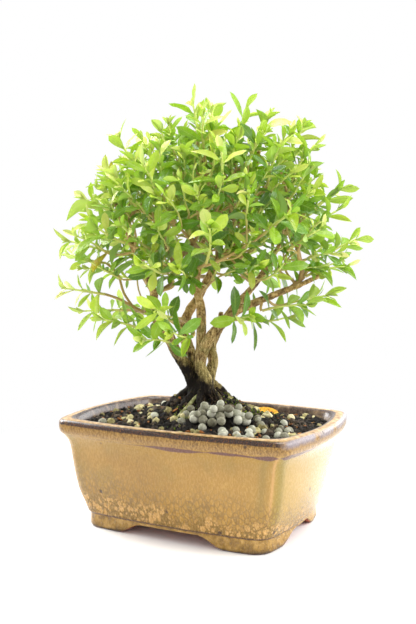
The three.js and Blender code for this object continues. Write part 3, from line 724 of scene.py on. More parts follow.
def ball_path(points: Point, radii: Sequence[float]) -> tuple[Point, Point]:
    """Returns centres and radii of balls along a path, at most 2.5 mm apart.

    Args:
        points: The path's points.
        radii: The radius at each of them.

    Returns:
        The centres and the radii.
    """
    centres, sizes = [], []
    for index in range(len(points) - 1):
        parts = math.ceil(np.linalg.norm(points[index + 1] - points[index]) / 2.5)
        for part in range(parts + 1):
            share = part / parts
            centres.append(points[index] + (points[index + 1] - points[index]) * share)
            sizes.append(between(radii[index], radii[index + 1], share))
    return np.array(centres), np.array(sizes)


@dataclass
class Obstacles:
    """Balls that new leaves keep clear of."""

    centres: list[Point] = field(default_factory=list)
    radii: list[Point] = field(default_factory=list)

    def add(self, *sets: Balls) -> None:
        """Takes in more sets of balls.

        Args:
            sets: The centres and the radii of each set.
        """
        for centres, radii in sets:
            self.centres.append(centres)
            self.radii.append(radii)

    def stacked(self) -> tuple[Point, Point]:
        """Returns all centres and radii.

        Returns:
            The centres and the radii.
        """
        if not self.centres:
            return np.zeros((0, 3)), np.zeros(0)
        return np.concatenate(self.centres), np.concatenate(self.radii)


def is_clear(balls: tuple[Point, Point], others: tuple[Point, Point], clearance: float) -> bool:
    """Tells whether balls stand clear of others by a clearance.

    Args:
        balls: The balls' centres and radii.
        others: Those of the others.
        clearance: The least gap in millimetres.

    Returns:
        Whether every ball stands clear.
    """
    if not len(others[0]):
        return True
    gaps = ((balls[0][:, None] - others[0][None]) ** 2).sum(axis=2)
    reach = balls[1][:, None] + others[1][None] + clearance
    return bool((gaps > reach * reach).all())


@dataclass
class Growth:
    """The rule by which the wood, the shoots and their leaves grow."""

    seed: int = 20
    heart: Point = field(default_factory=lambda: np.array([0.0, 0.0, 148.0]))
    centre: Point = field(default_factory=lambda: np.array([0.0, -1.0, 174.0]))
    reach: tuple[float, float, float, float] = (95, 90, 93, 52)
    spray_count: int = 47
    fill_tries: int = 150
    lowest_level: float = -0.78
    spacing: float = 36
    mating_gap: float = 0.35
    twig_radius: float = 0.85
    twig_growth: float = 0.42
    limb_steps: int = 3
    lowest_start: float = 108
    shoot_length: float = 27
    shoot_radius: float = 0.8
    leaf_reach: float = 10.5
    pairs: int = 5
    leaf_length: float = 15.5
    slenderness: float = 0.36
    stem_step: float = 14
    lift_below: float = 0.35
    lift_above: float = 0.1
    swerve: float = 0.22
    length_spread: tuple[float, float] = (0.86, 1.1)
    bend_cost: float = 0.75
    fall_cost: float = 0.35
    leaving_share: float = 0.3
    arriving_share: float = 0.33
    pair_span: tuple[float, float] = (0.16, 0.97)

    STEMS = {
        "left": [
            (-6, -2, 79, 4.1), (-8.5, -4, 92, 4), (-15, -11, 107, 3.7), (-18, -16, 118, 3.4),
            (-22, -21, 126, 3.1), (-24, -24, 136, 2.8), (-24, -23, 145, 2.6), (-29, -28, 157, 2.3),
            (-32, -32, 170, 2), (-38, -33, 185, 1.6), (-44, -34, 198, 1.2),
        ],
        "rear_left": [
            (-5, 1, 80, 3.9), (-8, 1, 98, 3.6), (-15.5, 1.5, 114, 3.4), (-17, 2, 121, 3.3),
            (-14, 5, 132, 2.9), (-8, 8, 142, 2.7), (-5, 11, 151, 2.5), (-1, 14, 160, 2.4),
            (7, 19, 172, 2.2), (13, 23, 184, 2), (17, 25, 200, 1.8), (22, 26, 219, 1.5), (25, 27, 236, 1.1),
        ],
        "middle": [
            (-2, -1, 80, 3.9), (-3, -1, 93, 3.4), (-3, -1, 106, 3.2), (-2, -2, 124, 3.1), (-2, -3, 136, 2.8),
            (-4, -5, 149, 2.5), (0, -6, 170, 2.1), (4, -6, 192, 1.8), (5, -7, 208, 1.5), (0, -7, 228, 1.2),
            (-4, -7, 243, 1),
        ],
        "right": [
            (1, -1, 79, 4.1), (3, -3, 87, 4), (-0.5, -6, 98, 3.7), (2, -7, 108, 3.5), (6, -6, 116, 3.3),
            (13, -5, 124, 3.1), (21, -2, 132, 2.9), (31, 2, 137, 2.5), (42, 6, 142, 2.1), (56, 13, 148, 1.7),
            (67, 21, 154, 1.3),
        ],
        "rear_right": [
            (0, 3, 79, 4), (0, 6, 91, 3.7), (1, 9, 100, 3.4), (-1.2, 10, 107, 3.3), (-1, 13, 114, 3.2),
            (3, 18, 124, 2.9), (9, 26, 135, 2.6), (16, 35, 146, 2.3), (22, 44, 159, 2), (30, 53, 178, 1.6),
            (37, 60, 197, 1.2),
        ],
    }
    BUTT = [
        (-2, 1, 34, 2.4), (-2.5, 1, 46, 4.6), (-2, 0, 58, 7.6), (-2.4, 0, 68, 9.4), (-2.6, 0, 76, 7.9),
        (-2.8, -0.4, 84, 6.3), (-3, -1, 90, 4.6),
    ]
    STUB = [(4, 17, 121, 2.2), (3, 15.5, 127, 1.9), (3.5, 15, 131, 1.5)]
    LEADERS = [
        (-8, -4, 270), (-4, 18, 269), (25, 13, 266), (46, 1, 256), (58, 30, 255), (72, 15, 241),
        (81, 42, 214), (92, 46, 182), (93, 24, 162), (76, 39, 144), (73, 14, 138), (55, 28, 129),
        (51, -34, 132),
        (-25, -13, 253), (-51, -27, 247), (-48, -47, 223), (-74, -38, 207), (-73, -58, 178), (-96, -28, 170),
        (-87, -44, 148), (-89, -22, 131), (-54, -50, 131), (-50, -24, 126),
        (-30, -38, 176), (34, -34, 178), (8, -44, 212), (-44, 38, 174), (40, 26, 196), (-8, 48, 204),
    ]
    TRIALS = [(0, 0), (0.25, 0.15), (-0.25, 0.15), (0.3, -0.15), (-0.3, -0.15), (0, 0.3)]

    def stem_path(self, waypoints: Sequence[tuple], step: float) -> tuple[Point, Point]:
        """Samples a stem.

        Args:
            waypoints: Places and radii along it.
            step: The length of one sampled stretch.

        Returns:
            Its axis points and radii.
        """
        rows = np.array(waypoints, dtype=float)
        length = np.linalg.norm(np.diff(rows[:, :3], axis=0), axis=1).sum()
        steps = max(2, math.floor(length / step + 0.5))
        path = smooth_path(rows, steps)
        return path[:, :3], path[:, 3]

    def tips(self) -> list[Point]:
        """Returns the leaf tips that the sprays reach.

        Returns:
            The tips.
        """
        tips = [np.array(tip, dtype=float) for tip in self.LEADERS]
        across, deep, rise, drop = self.reach
        for index in range(self.fill_tries):
            if len(tips) >= self.spray_count:
                break
            level = 1 - (2 * (index + 0.5)) / self.fill_tries
            ring = math.sqrt(1 - level * level)
            turn = index * GOLDEN_ANGLE
            height = (rise if level > 0 else drop) * level
            flat = (across * ring * math.cos(turn), deep * ring * math.sin(turn))
            tip = self.centre + np.array([*flat, height])
            nearest = min(np.linalg.norm(other - tip) for other in tips)
            if level > self.lowest_level and nearest > self.spacing:
                tips.append(tip)
        return tips

    def shoot_at(self, tip: Point, random: Random, length: float | None = None) -> Shoot:
        """Returns the shoot that reaches a tip.

        Args:
            tip: The tip.
            random: The source of its turns and its length.
            length: About how long it is, if not as long as the main shoots.

        Returns:
            The shoot.
        """
        outward = unit(tip - self.heart)
        heading = outward + UP * (self.lift_below if outward[2] < 0 else self.lift_above)
        heading = unit(heading + sideways(outward, 2 * math.pi * random()) * (self.swerve * random()))
        grown = (length or self.shoot_length) * between(*self.length_spread, random())
        start = tip - heading * (grown + self.leaf_reach)
        return Shoot(tip, heading, grown, start, math.pi * random())

    def branching_place(self, wood: list[Limb], goal: Point) -> tuple[int, int, Point, Point, float]:
        """Returns where a limb to a goal leaves the wood: the limb, its point, place, growth and distance.

        Args:
            wood: The limbs so far.
            goal: The place that the limb runs to.

        Returns:
            The numbers of the limb and the point, then the other three.
        """
        best = None
        for number, limb in enumerate(wood):
            inner = np.arange(1, len(limb.points) - 1)
            inner = inner[limb.points[inner, 2] >= self.lowest_start]
            if not len(inner):
                continue
            growth = limb.points[inner + 1] - limb.points[inner - 1]
            growth /= np.linalg.norm(growth, axis=1)[:, None]
            towards = goal - limb.points[inner]
            distance = np.linalg.norm(towards, axis=1)
            against = 1 - (towards * growth).sum(axis=1) / distance
            above = np.maximum(0, limb.points[inner, 2] - goal[2])
            cost = distance * (1 + self.bend_cost * against) + self.fall_cost * above
            least = int(cost.argmin())
            if best is None or cost[least] < best[0]:
                foot = int(inner[least])
                best = (cost[least], number, foot, limb.points[foot], growth[least], distance[least])
        return best[1:]

    def add_limbs(self, wood: list[Limb], shoots: Sequence[Shoot]) -> None:
        """Grows a limb to each shoot, inner ones first, and sizes all of them by what they carry.

        Args:
            wood: The limbs so far, which the new ones are added to.
            shoots: The shoots.
        """
        for shoot in sorted(shoots, key=lambda one: np.linalg.norm(one.start - self.heart)):
            goal = shoot.start - shoot.heading * self.mating_gap
            number, foot, place, growth, distance = self.branching_place(wood, goal)
            leaving = growth * (self.leaving_share * distance)
            arriving = shoot.heading * (self.arriving_share * distance)
            handles = (place, place + leaving, goal - arriving, goal)
            shares = np.linspace(0, 1, self.limb_steps + 1)[:, None]
            rest = 1 - shares
            weights = (rest**3, 3 * shares * rest**2, 3 * shares**2 * rest, shares**3)
            points = sum(weight * handle for weight, handle in zip(weights, handles))
            limb = Limb(points, None, number, foot, np.ones(len(points)))
            wood.append(limb)
            carrier = limb
            while carrier.parent is not None:
                below = wood[carrier.parent]
                if below.loads is not None:
                    below.loads[: carrier.foot + 1] += 1
                carrier = below
        for limb in wood:
            if limb.loads is not None:
                limb.radii = self.twig_radius * limb.loads**self.twig_growth

    def stems(self) -> list[Limb]:
        """Returns the five stems."""
        return [Limb(*self.stem_path(waypoints, self.stem_step)) for waypoints in self.STEMS.values()]

    def leaf_on(
        self, shoot: Shoot, share: float, azimuth: float, opening: float, size: float, arch: float
    ) -> Leaf:
        """Returns a leaf at a share of a shoot, turned round it and opened from it.

        Args:
            shoot: The shoot.
            share: The share of its length.
            azimuth: The turn round it in radians.
            opening: The angle from it in radians.
            size: The leaf's length.
            arch: How far the leaf arches.

        Returns:
            The leaf.
        """
        side = sideways(shoot.heading, azimuth)
        along = shoot.heading * math.cos(opening) + side * math.sin(opening)
        face = shoot.heading * math.sin(opening) - side * math.cos(opening)
        foot = shoot.point(share)
        return Leaf(foot, along, np.cross(face, along), face, size, size * self.slenderness, arch)

    def pair_share(self, pair: int) -> float:
        """Returns how far along its shoot a pair of leaves stands."""
        return between(*self.pair_span, pair / (self.pairs - 1))

    def leaves_of(
        self, shoot: Shoot, obstacles: Balls, random: Random, clearance: float = 0.5, loose: float = 1.0
    ) -> list[Leaf]:
        """Grows the opposite pairs of one shoot and leaves out those that find no room.

        Args:
            shoot: The shoot.
            obstacles: What the leaves keep clear of.
            random: The stream of draws.
            clearance: How far they keep clear of it.
            loose: How freely they turn, open and differ in size.

        Returns:
            The leaves.
        """
        grown: list[Leaf] = []
        siblings = Obstacles()
        for pair in range(self.pairs):
            age = pair / (self.pairs - 1)
            share = self.pair_share(pair)
            for half in (0, 1):
                azimuth = shoot.turn + pair * (math.pi / 2) + half * math.pi + 0.5 * loose * (random() - 0.5)
                opening = between(1.3, 0.5, age) + 0.4 * loose * (random() - 0.5)
                last = 0.78 if pair == self.pairs - 1 else 1
                size = self.leaf_length * between(1 - 0.2 * loose, 1.12, random()) * last
                arch = between(-0.06, 0.27, random())
                for turned, opened in self.TRIALS:
                    angle = max(0.32, opening + opened)
                    leaf = self.leaf_on(shoot, share, azimuth + turned, angle, size * shoot.vigour, arch)
                    free = is_clear(leaf.balls(), obstacles, clearance)
                    if free and is_clear(leaf.balls(), siblings.stacked(), clearance):
                        leaf.age = age
                        leaf.group = shoot.group
                        siblings.add(leaf.balls())
                        grown.append(leaf)
                        break
        return grown


# ---------------------------------------------------------------- finishes


@dataclass(frozen=True)
class LeafFinish:
    """Fresh serissa leaves: bright when young and in painted light, deeper when old and in painted shade,
    paler and bluer underneath.
    """

    greens: Stops = (
        (0.0, (32, 86, 26)), (0.25, (86, 140, 30)), (0.5, (160, 194, 50)), (0.75, (221, 227, 94)),
        (1.0, (244, 241, 156)),
    )
    yellows: Stops = ((0.35, (226, 180, 40)), (0.65, (196, 120, 36)))
    blush: Colour = (176, 142, 84)
    vein: Colour = (196, 218, 120)
    rib: Colour = (206, 224, 132)
    glow: Colour = (200, 228, 78)
    glow_share: float = 0.44

    def material(self) -> bpy.types.Material:
        """Returns the material, which reads the blade's own map, its age with painted light and shade, and
        its tint.

        Returns:
            The material.
        """
        recipe = Recipe("leaf_finish", roughness=0.42, gloss=0.6)
        age, tint = recipe.attribute("age"), recipe.attribute("tint")
        across, along, _ = recipe.axes(recipe.wire("ShaderNodeUVMap", {"uv_map": "UVMap"}))
        under = across.step(1.4, 1.6)
        out = abs(across - under * 2 - 0.5) * 2
        blotch = recipe.cloud(240)
        # The level carries painted light on the left and top of the crown and painted shade inside it.
        upper = recipe.ramp(age + tint * 0.36 + (blotch - 0.5) * 0.3, self.greens)
        lower = recipe.mix(0.5, upper, (170, 188, 124))
        veins = (along * 58 - out * 9).sine().step(0.55, 1.0) * out.step(0.05, 0.2) * out.step(1.0, 0.7)
        midrib = out.step(0.13, 0.03) * along.step(1.0, 0.75)
        upper = recipe.mix(veins * 0.22, upper, self.vein)
        upper = recipe.mix(midrib * 0.5, upper, self.rib)
        upper = recipe.mix(along.step(0.14, 0.0) * 0.6, upper, (208, 220, 128))
        lower = recipe.mix(midrib * 0.5, lower, (206, 220, 160))
        recipe.base(recipe.mix(under, upper, lower))
        recipe.coat(tint.bump(0.86, 0.09) * 0.5, self.blush)
        recipe.coat(tint.step(0.975, 0.985) * 0.85, recipe.ramp(blotch, self.yellows))
        recipe.feed("Roughness", 0.27 + under * 0.3 + (blotch - 0.5) * 0.2)
        recipe.lift((1 - midrib) * 0.6 + veins * -0.3 + blotch * 0.3, 0.00025, 0.6)
        recipe.blend(self.glow_share, "ShaderNodeBsdfTranslucent", {"Color": paint(self.glow)})
        return recipe.material


@dataclass(frozen=True)
class ShootFinish:
    """Young shoots: yellow-green at the tip and tan towards the wood."""

    stops: Stops = (
        (0.0, (206, 220, 118)), (0.3, (190, 194, 98)), (0.6, (184, 156, 92)), (1.0, (148, 120, 72)),
    )

    def material(self) -> bpy.types.Material:
        """Returns the material, which reads how woody each place is.

        Returns:
            The material.
        """
        recipe = Recipe("shoot_finish", roughness=0.5, gloss=0.35)
        mottle = recipe.cloud(900)
        recipe.base(recipe.ramp(recipe.attribute("wood") + (mottle - 0.5) * 0.35, self.stops))
        recipe.lift(mottle, 0.0003, 0.6)
        return recipe.material


@dataclass(frozen=True)
class BarkFinish:
    """Tan bark with green lichen, which turns near black and fibrous at the foot."""

    dark_top: float = 0.099
    dark_full: float = 0.086
    old: Stops = (
        (0.33, (34, 25, 16)), (0.44, (104, 78, 46)), (0.55, (192, 162, 104)), (0.66, (250, 232, 180)),
    )
    young: Stops = (
        (0.34, (96, 72, 40)), (0.45, (160, 128, 76)), (0.56, (204, 172, 110)), (0.7, (230, 208, 154)),
    )
    lichen: Stops = ((0.35, (104, 104, 58)), (0.6, (164, 158, 98)))
    black: Stops = ((0.3, (12, 10, 9)), (0.6, (38, 32, 26)), (0.75, (86, 74, 56)))

    def material(self) -> bpy.types.Material:
        """Returns the material.

        Returns:
            The material.
        """
        recipe = Recipe("bark_finish", roughness=0.85, gloss=0.2)
        x, _, height = recipe.axes()
        streaks = recipe.cloud(1, 5, 0.65, recipe.stretched((900, 900, 190)), 0.4)
        patches = recipe.cloud(130, 4, 0.6)
        fine = recipe.cloud(1500, 3, 0.7)
        recipe.base(recipe.ramp(streaks * 0.7 + fine * 0.3, self.old))
        recipe.coat(height.step(0.116, 0.14) * 0.85, recipe.ramp(recipe.cloud(420, 4, 0.65), self.young))
        greening = (patches + (0.125 - height) * 5).step(0.5, 0.66)
        recipe.coat(greening * 0.45, recipe.ramp(fine, self.lichen))
        recipe.coat(patches.step(0.48, 0.34) * 0.6, (58, 45, 28))
        recipe.coat(recipe.cells(220).step(0.2, 0.08) * 0.55, (54, 42, 30))
        edge = height + (patches - 0.5) * 0.03 + (streaks - 0.5) * 0.012 + x * 0.8
        recipe.coat(edge.step(self.dark_top, self.dark_full), recipe.ramp(streaks, self.black))
        recipe.feed("Roughness", 0.7 + streaks * 0.25)
        recipe.lift(streaks * 0.8 + fine * 0.2, 0.0012, 0.9)
        return recipe.material


@dataclass(frozen=True)
class GlazeFinish:
    """Ochre glaze that breaks dark on the edges and runs in pale drops over olive lower down."""

    ochre: Stops = (
        (0.34, (122, 88, 30)), (0.45, (147, 109, 38)), (0.58, (164, 124, 50)), (0.72, (186, 148, 76)),
    )
    olive: Stops = ((0.36, (106, 80, 32)), (0.62, (142, 110, 46)))
    drops: Stops = ((0.36, (166, 124, 60)), (0.64, (204, 162, 98)))
    foot: Stops = ((0.35, (118, 88, 36)), (0.5, (152, 116, 48)), (0.68, (184, 146, 78)))
    lip: Stops = (
        (0.36, (70, 48, 20)), (0.47, (126, 92, 38)), (0.58, (162, 124, 58)), (0.7, (200, 162, 98)),
    )
    rim: Stops = ((0.32, (120, 88, 58)), (0.5, (184, 148, 100)), (0.68, (222, 194, 150)))
    lining: Stops = ((0.35, (54, 42, 40)), (0.55, (94, 76, 68)), (0.72, (150, 126, 100)))
    bare_clay: Stops = ((0.35, (132, 60, 38)), (0.65, (184, 98, 66)))
    burnt: Colour = (30, 20, 24)
    rust: Colour = (170, 96, 38)
    plum: Colour = (62, 42, 44)
    purple: Colour = (84, 50, 54)
    # Painted reflection on the dark break line of the short sides.
    lilac: Colour = (126, 122, 134)

    def material(self) -> bpy.types.Material:
        """Returns the material, laid out by height in millimetres and by side of the pot.

        Returns:
            The material.
        """
        recipe = Recipe("glaze_finish", roughness=0.2, gloss=0.4)
        x, y, z = recipe.axes()
        height = z * 1000
        wide = recipe.cloud(14, 3, 0.5)
        warp = recipe.cloud(55)
        sway = warp - 0.5
        grain = recipe.cloud(1, 4, 0.65, recipe.stretched((1150, 1150, 480)), 0.5)
        speck = recipe.cloud(2400, 2, 0.7)
        long_side = (abs(y) * 1.37 - abs(x)).step(-0.004, 0.004)
        corner = abs(x) - abs(y) * 1.37
        recipe.base(recipe.ramp(grain * 0.5 + wide * 0.5, self.ochre))
        recipe.coat(recipe.cloud(38).step(0.54, 0.7) * 0.35, (122, 104, 40))
        recipe.coat(speck.step(0.4, 0.28) * 0.4, (112, 78, 38))
        # Painted shade: darker olive towards the top of the body, under the lip; the olive near the corners
        # is the glaze's own.
        lip_shade_and_corner_olive = height.step(44, 57) * 0.45 + corner.bump(0.0, 0.028) * wide.step(0.35, 0.6) * 0.4
        recipe.coat(lip_shade_and_corner_olive, (142, 112, 42))
        # Painted light: both short sides are tinted yellower, like the sheen on the lit right side.
        recipe.coat((1 - long_side) * 0.35, (156, 136, 54))
        streak = warp.step(0.25, 0.5)
        recipe.coat(corner.bump(0.007, 0.0085) * streak * 0.5, (108, 98, 34))
        recipe.coat(corner.bump(-0.0095, 0.005) * streak * 0.35, (112, 98, 38))
        recipe.coat(corner.bump(-0.0015, 0.0024) * streak * 0.55, (198, 152, 98))
        reach = height + sway * 26 + x * 70
        cracks = recipe.cells(430, recipe.stretched((1, 1, 0.55)), "DISTANCE_TO_EDGE").step(0.17, 0.04)
        recipe.coat(cracks * reach.step(44, 22) * 0.8, (116, 88, 38))
        low = reach.step(23, 15)
        free = 1 - self._drops(recipe, 210, 0.9, 0.5)
        for scale, left_out in ((330, 0.35), (560, 0.3)):
            free = free * (1 - self._drops(recipe, scale, 0.8, left_out))
        drop = 1 - free
        runs = recipe.mix(drop, recipe.ramp(grain, self.olive), recipe.ramp(grain, self.drops))
        recipe.coat(low * 0.85, runs)
        recipe.coat(height.step(9.6, 8.6) * 0.9, recipe.ramp(recipe.cloud(230, 4), self.foot))
        recipe.coat((height + sway * 3).step(2.8, 0.4) * 0.9, (56, 40, 26))
        seam = (height + sway * 1.2).bump(9.15, 1.1) * recipe.cloud(60, 2).step(0.25, 0.4)
        recipe.coat(seam * 0.85, self.plum)
        recipe.coat(height.step(58.0, 59.4), recipe.ramp(grain * 0.5 + speck * 0.5, self.lip))
        under = (height + sway * 2.4).bump(57.5, 1.7)
        stretch = recipe.cloud(24).step(0.36, 0.6) * (x + wide * 0.03).step(-0.01, 0.03)
        band = (under + stretch * (1 - corner.bump(0.0, 0.007)) * 0.9 - 0.9).step(0.0, 0.2)
        recipe.coat(band * 0.9, self.purple)
        inward = recipe.attribute("inner")
        outer = inward.step(0.5, 0.2)
        broken = recipe.cloud(80)
        line = height + sway * 1.6
        dark_line = line.step(63.5, 64.2) * line.step(66.95, 66.4) * outer * broken.step(0.26, 0.36)
        rusty = recipe.mix(speck.step(0.58, 0.68), self.burnt, self.rust)
        recipe.coat(dark_line * long_side * 0.94, rusty)
        # Painted reflection: on the short sides the dark break line is painted lilac grey, as a bright
        # reflection on its glaze.
        lilac_line = line.step(61.5, 64.2) * line.step(66.95, 66.2) * outer * broken.step(0.3, 0.5)
        recipe.coat(lilac_line * (1 - long_side) * 0.75, self.lilac)
        top = height.step(66.4, 66.85) * outer
        recipe.coat(top, recipe.ramp(recipe.cloud(300, 4, 0.65), self.rim))
        recipe.coat(inward.step(0.45, 0.75), recipe.ramp(recipe.cloud(200, 4), self.lining))
        pits = recipe.cells(48).step(0.065, 0.04)
        recipe.coat(pits * 0.85, (58, 36, 26))
        clay = recipe.attribute("clay").step(0.3, 0.7)
        recipe.coat(clay, recipe.ramp(grain, self.bare_clay))
        recipe.feed("Roughness", 0.2 + grain * 0.14 + clay * 0.5 + top * 0.12)
        recipe.feed("Coat Weight", 0.14 - clay * 0.1)
        recipe.feed("Coat Roughness", 0.12)
        recipe.lift(drop * low * 0.5 + grain * 0.2 + speck * 0.1 - pits * 0.8 - seam * 0.4, 0.0006, 0.7)
        return recipe.material

    @staticmethod
    def _drops(recipe: Recipe, scale: float, upright: float, left_out: float) -> Wire:
        """Returns where round drops of glaze sit, with a share of them left out.

        Args:
            recipe: The material under construction.
            scale: Drops per metre.
            upright: The scale of the height against the other axes.
            left_out: The share.

        Returns:
            A value that is 1 on a drop.
        """
        place = recipe.stretched((1, 1, upright))
        share, _, _ = recipe.axes(recipe.cells(scale, place, out="Color"))
        return recipe.cells(scale, place).step(0.45, 0.36) * share.step(left_out, left_out + 0.05)


@dataclass(frozen=True)
class PlainFinish:
    """A finish whose colour and relief follow one grain."""

    name: str
    roughness: float
    gloss: float
    grain: tuple[float, ...]
    depth: float
    strength: float
    stops: Stops
    wear: float = 0.0
    stain: Colour | None = None

    def material(self) -> bpy.types.Material:
        """Returns the material.

        Returns:
            The material.
        """
        recipe = Recipe(self.name, self.roughness, self.gloss)
        grain = recipe.cloud(*self.grain)
        recipe.base(recipe.ramp(grain, self.stops))
        if self.stain:
            recipe.coat(recipe.cloud(160).step(0.6, 0.75) * 0.3, self.stain)
        if self.wear:
            recipe.feed("Roughness", self.roughness + grain * self.wear)
        recipe.lift(grain, self.depth, self.strength)
        return recipe.material


DAMP_SOIL = PlainFinish(
    "soil_finish", 0.9, 0.25, (420, 5, 0.7), 0.0012, 1.0,
    ((0.35, (11, 10, 9)), (0.55, (35, 29, 25)), (0.75, (78, 66, 52))), stain=(92, 62, 36),
)
DRY_LEAF = PlainFinish(
    "dry_leaf_finish", 0.5, 0.35, (420, 4, 0.6), 0.0004, 0.7,
    ((0.3, (150, 88, 22)), (0.45, (214, 146, 26)), (0.62, (236, 182, 44)), (0.8, (246, 214, 96))),
)
NETTING = PlainFinish(
    "mesh_finish", 0.45, 0.5, (1800, 3), 0.0001, 0.5, ((0.35, (38, 41, 44)), (0.65, (66, 70, 73))), 0.2
)
FINE_ROOT = PlainFinish(
    "fine_root_finish", 0.9, 0.2, (900, 4), 0.0004, 0.8,
    ((0.35, (22, 18, 14)), (0.6, (64, 50, 36)), (0.75, (112, 92, 64))),
)
PALE_ROOT = PlainFinish(
    "pale_root_finish", 0.7, 0.3, (500, 4), 0.0004, 0.7,
    ((0.3, (96, 92, 58)), (0.5, (150, 150, 98)), (0.7, (198, 198, 152))),
)


class Crumb(Enum):
    """Kinds of loose bits on the soil.

    Each has its roughness, the depth of its relief, the fineness of its grain and the colours that its
    random share runs through.
    """

    COMPOST = (
        0.92, 0.0005, 1100,
        ((0.0, (11, 10, 9)), (0.42, (32, 28, 25)), (0.72, (60, 51, 43)), (1.0, (124, 106, 84))),
    )
    CHIP = (
        0.8, 0.0004, 500,
        ((0.0, (158, 148, 96)), (0.35, (192, 184, 128)), (0.7, (216, 208, 156)), (1.0, (238, 234, 204))),
    )
    STONE = (
        0.8, 0.0004, 600,
        ((0.0, (106, 96, 58)), (0.35, (156, 145, 96)), (0.7, (200, 188, 138)), (1.0, (242, 232, 196))),
    )
    BARK_BIT = (
        0.8, 0.0004, 800,
        ((0.0, (96, 56, 28)), (0.4, (150, 92, 44)), (0.75, (188, 126, 66)), (1.0, (206, 160, 104))),
    )
    MOSS = (0.9, 0.0003, 900, ((0.0, (52, 66, 18)), (0.5, (104, 124, 34)), (1.0, (160, 176, 66))))
    PELLET = (
        0.75, 0.00035, 700,
        ((0.0, (96, 90, 70)), (0.3, (142, 139, 120)), (0.65, (176, 175, 158)), (1.0, (214, 212, 194))),
    )

    def material(self) -> bpy.types.Material:
        """Returns the material, which reads each bit's own random share.

        Returns:
            The material.
        """
        roughness, depth, scale, stops = self.value
        recipe = Recipe(f"{self.name.lower()}_finish", roughness, 0.3)
        grain = recipe.cloud(scale, 4, 0.65)
        speck = recipe.cloud(scale * 2.6, 2, 0.7)
        recipe.base(recipe.ramp(recipe.attribute("share") * 0.75 + (grain - 0.5) * 0.9 + 0.12, stops))
        recipe.coat(speck.step(0.4, 0.28) * 0.5, (52, 46, 38))
        recipe.lift(grain * 0.7 + speck * 0.3, depth, 0.9)
        return recipe.material


# ---------------------------------------------------------------- pot


@dataclass(frozen=True)
class Frame:
    """A bowed rectangle: its length, its depth and how far the middle of its sides stands out."""

    length: float
    depth: float
    long_bow: float
    short_bow: float


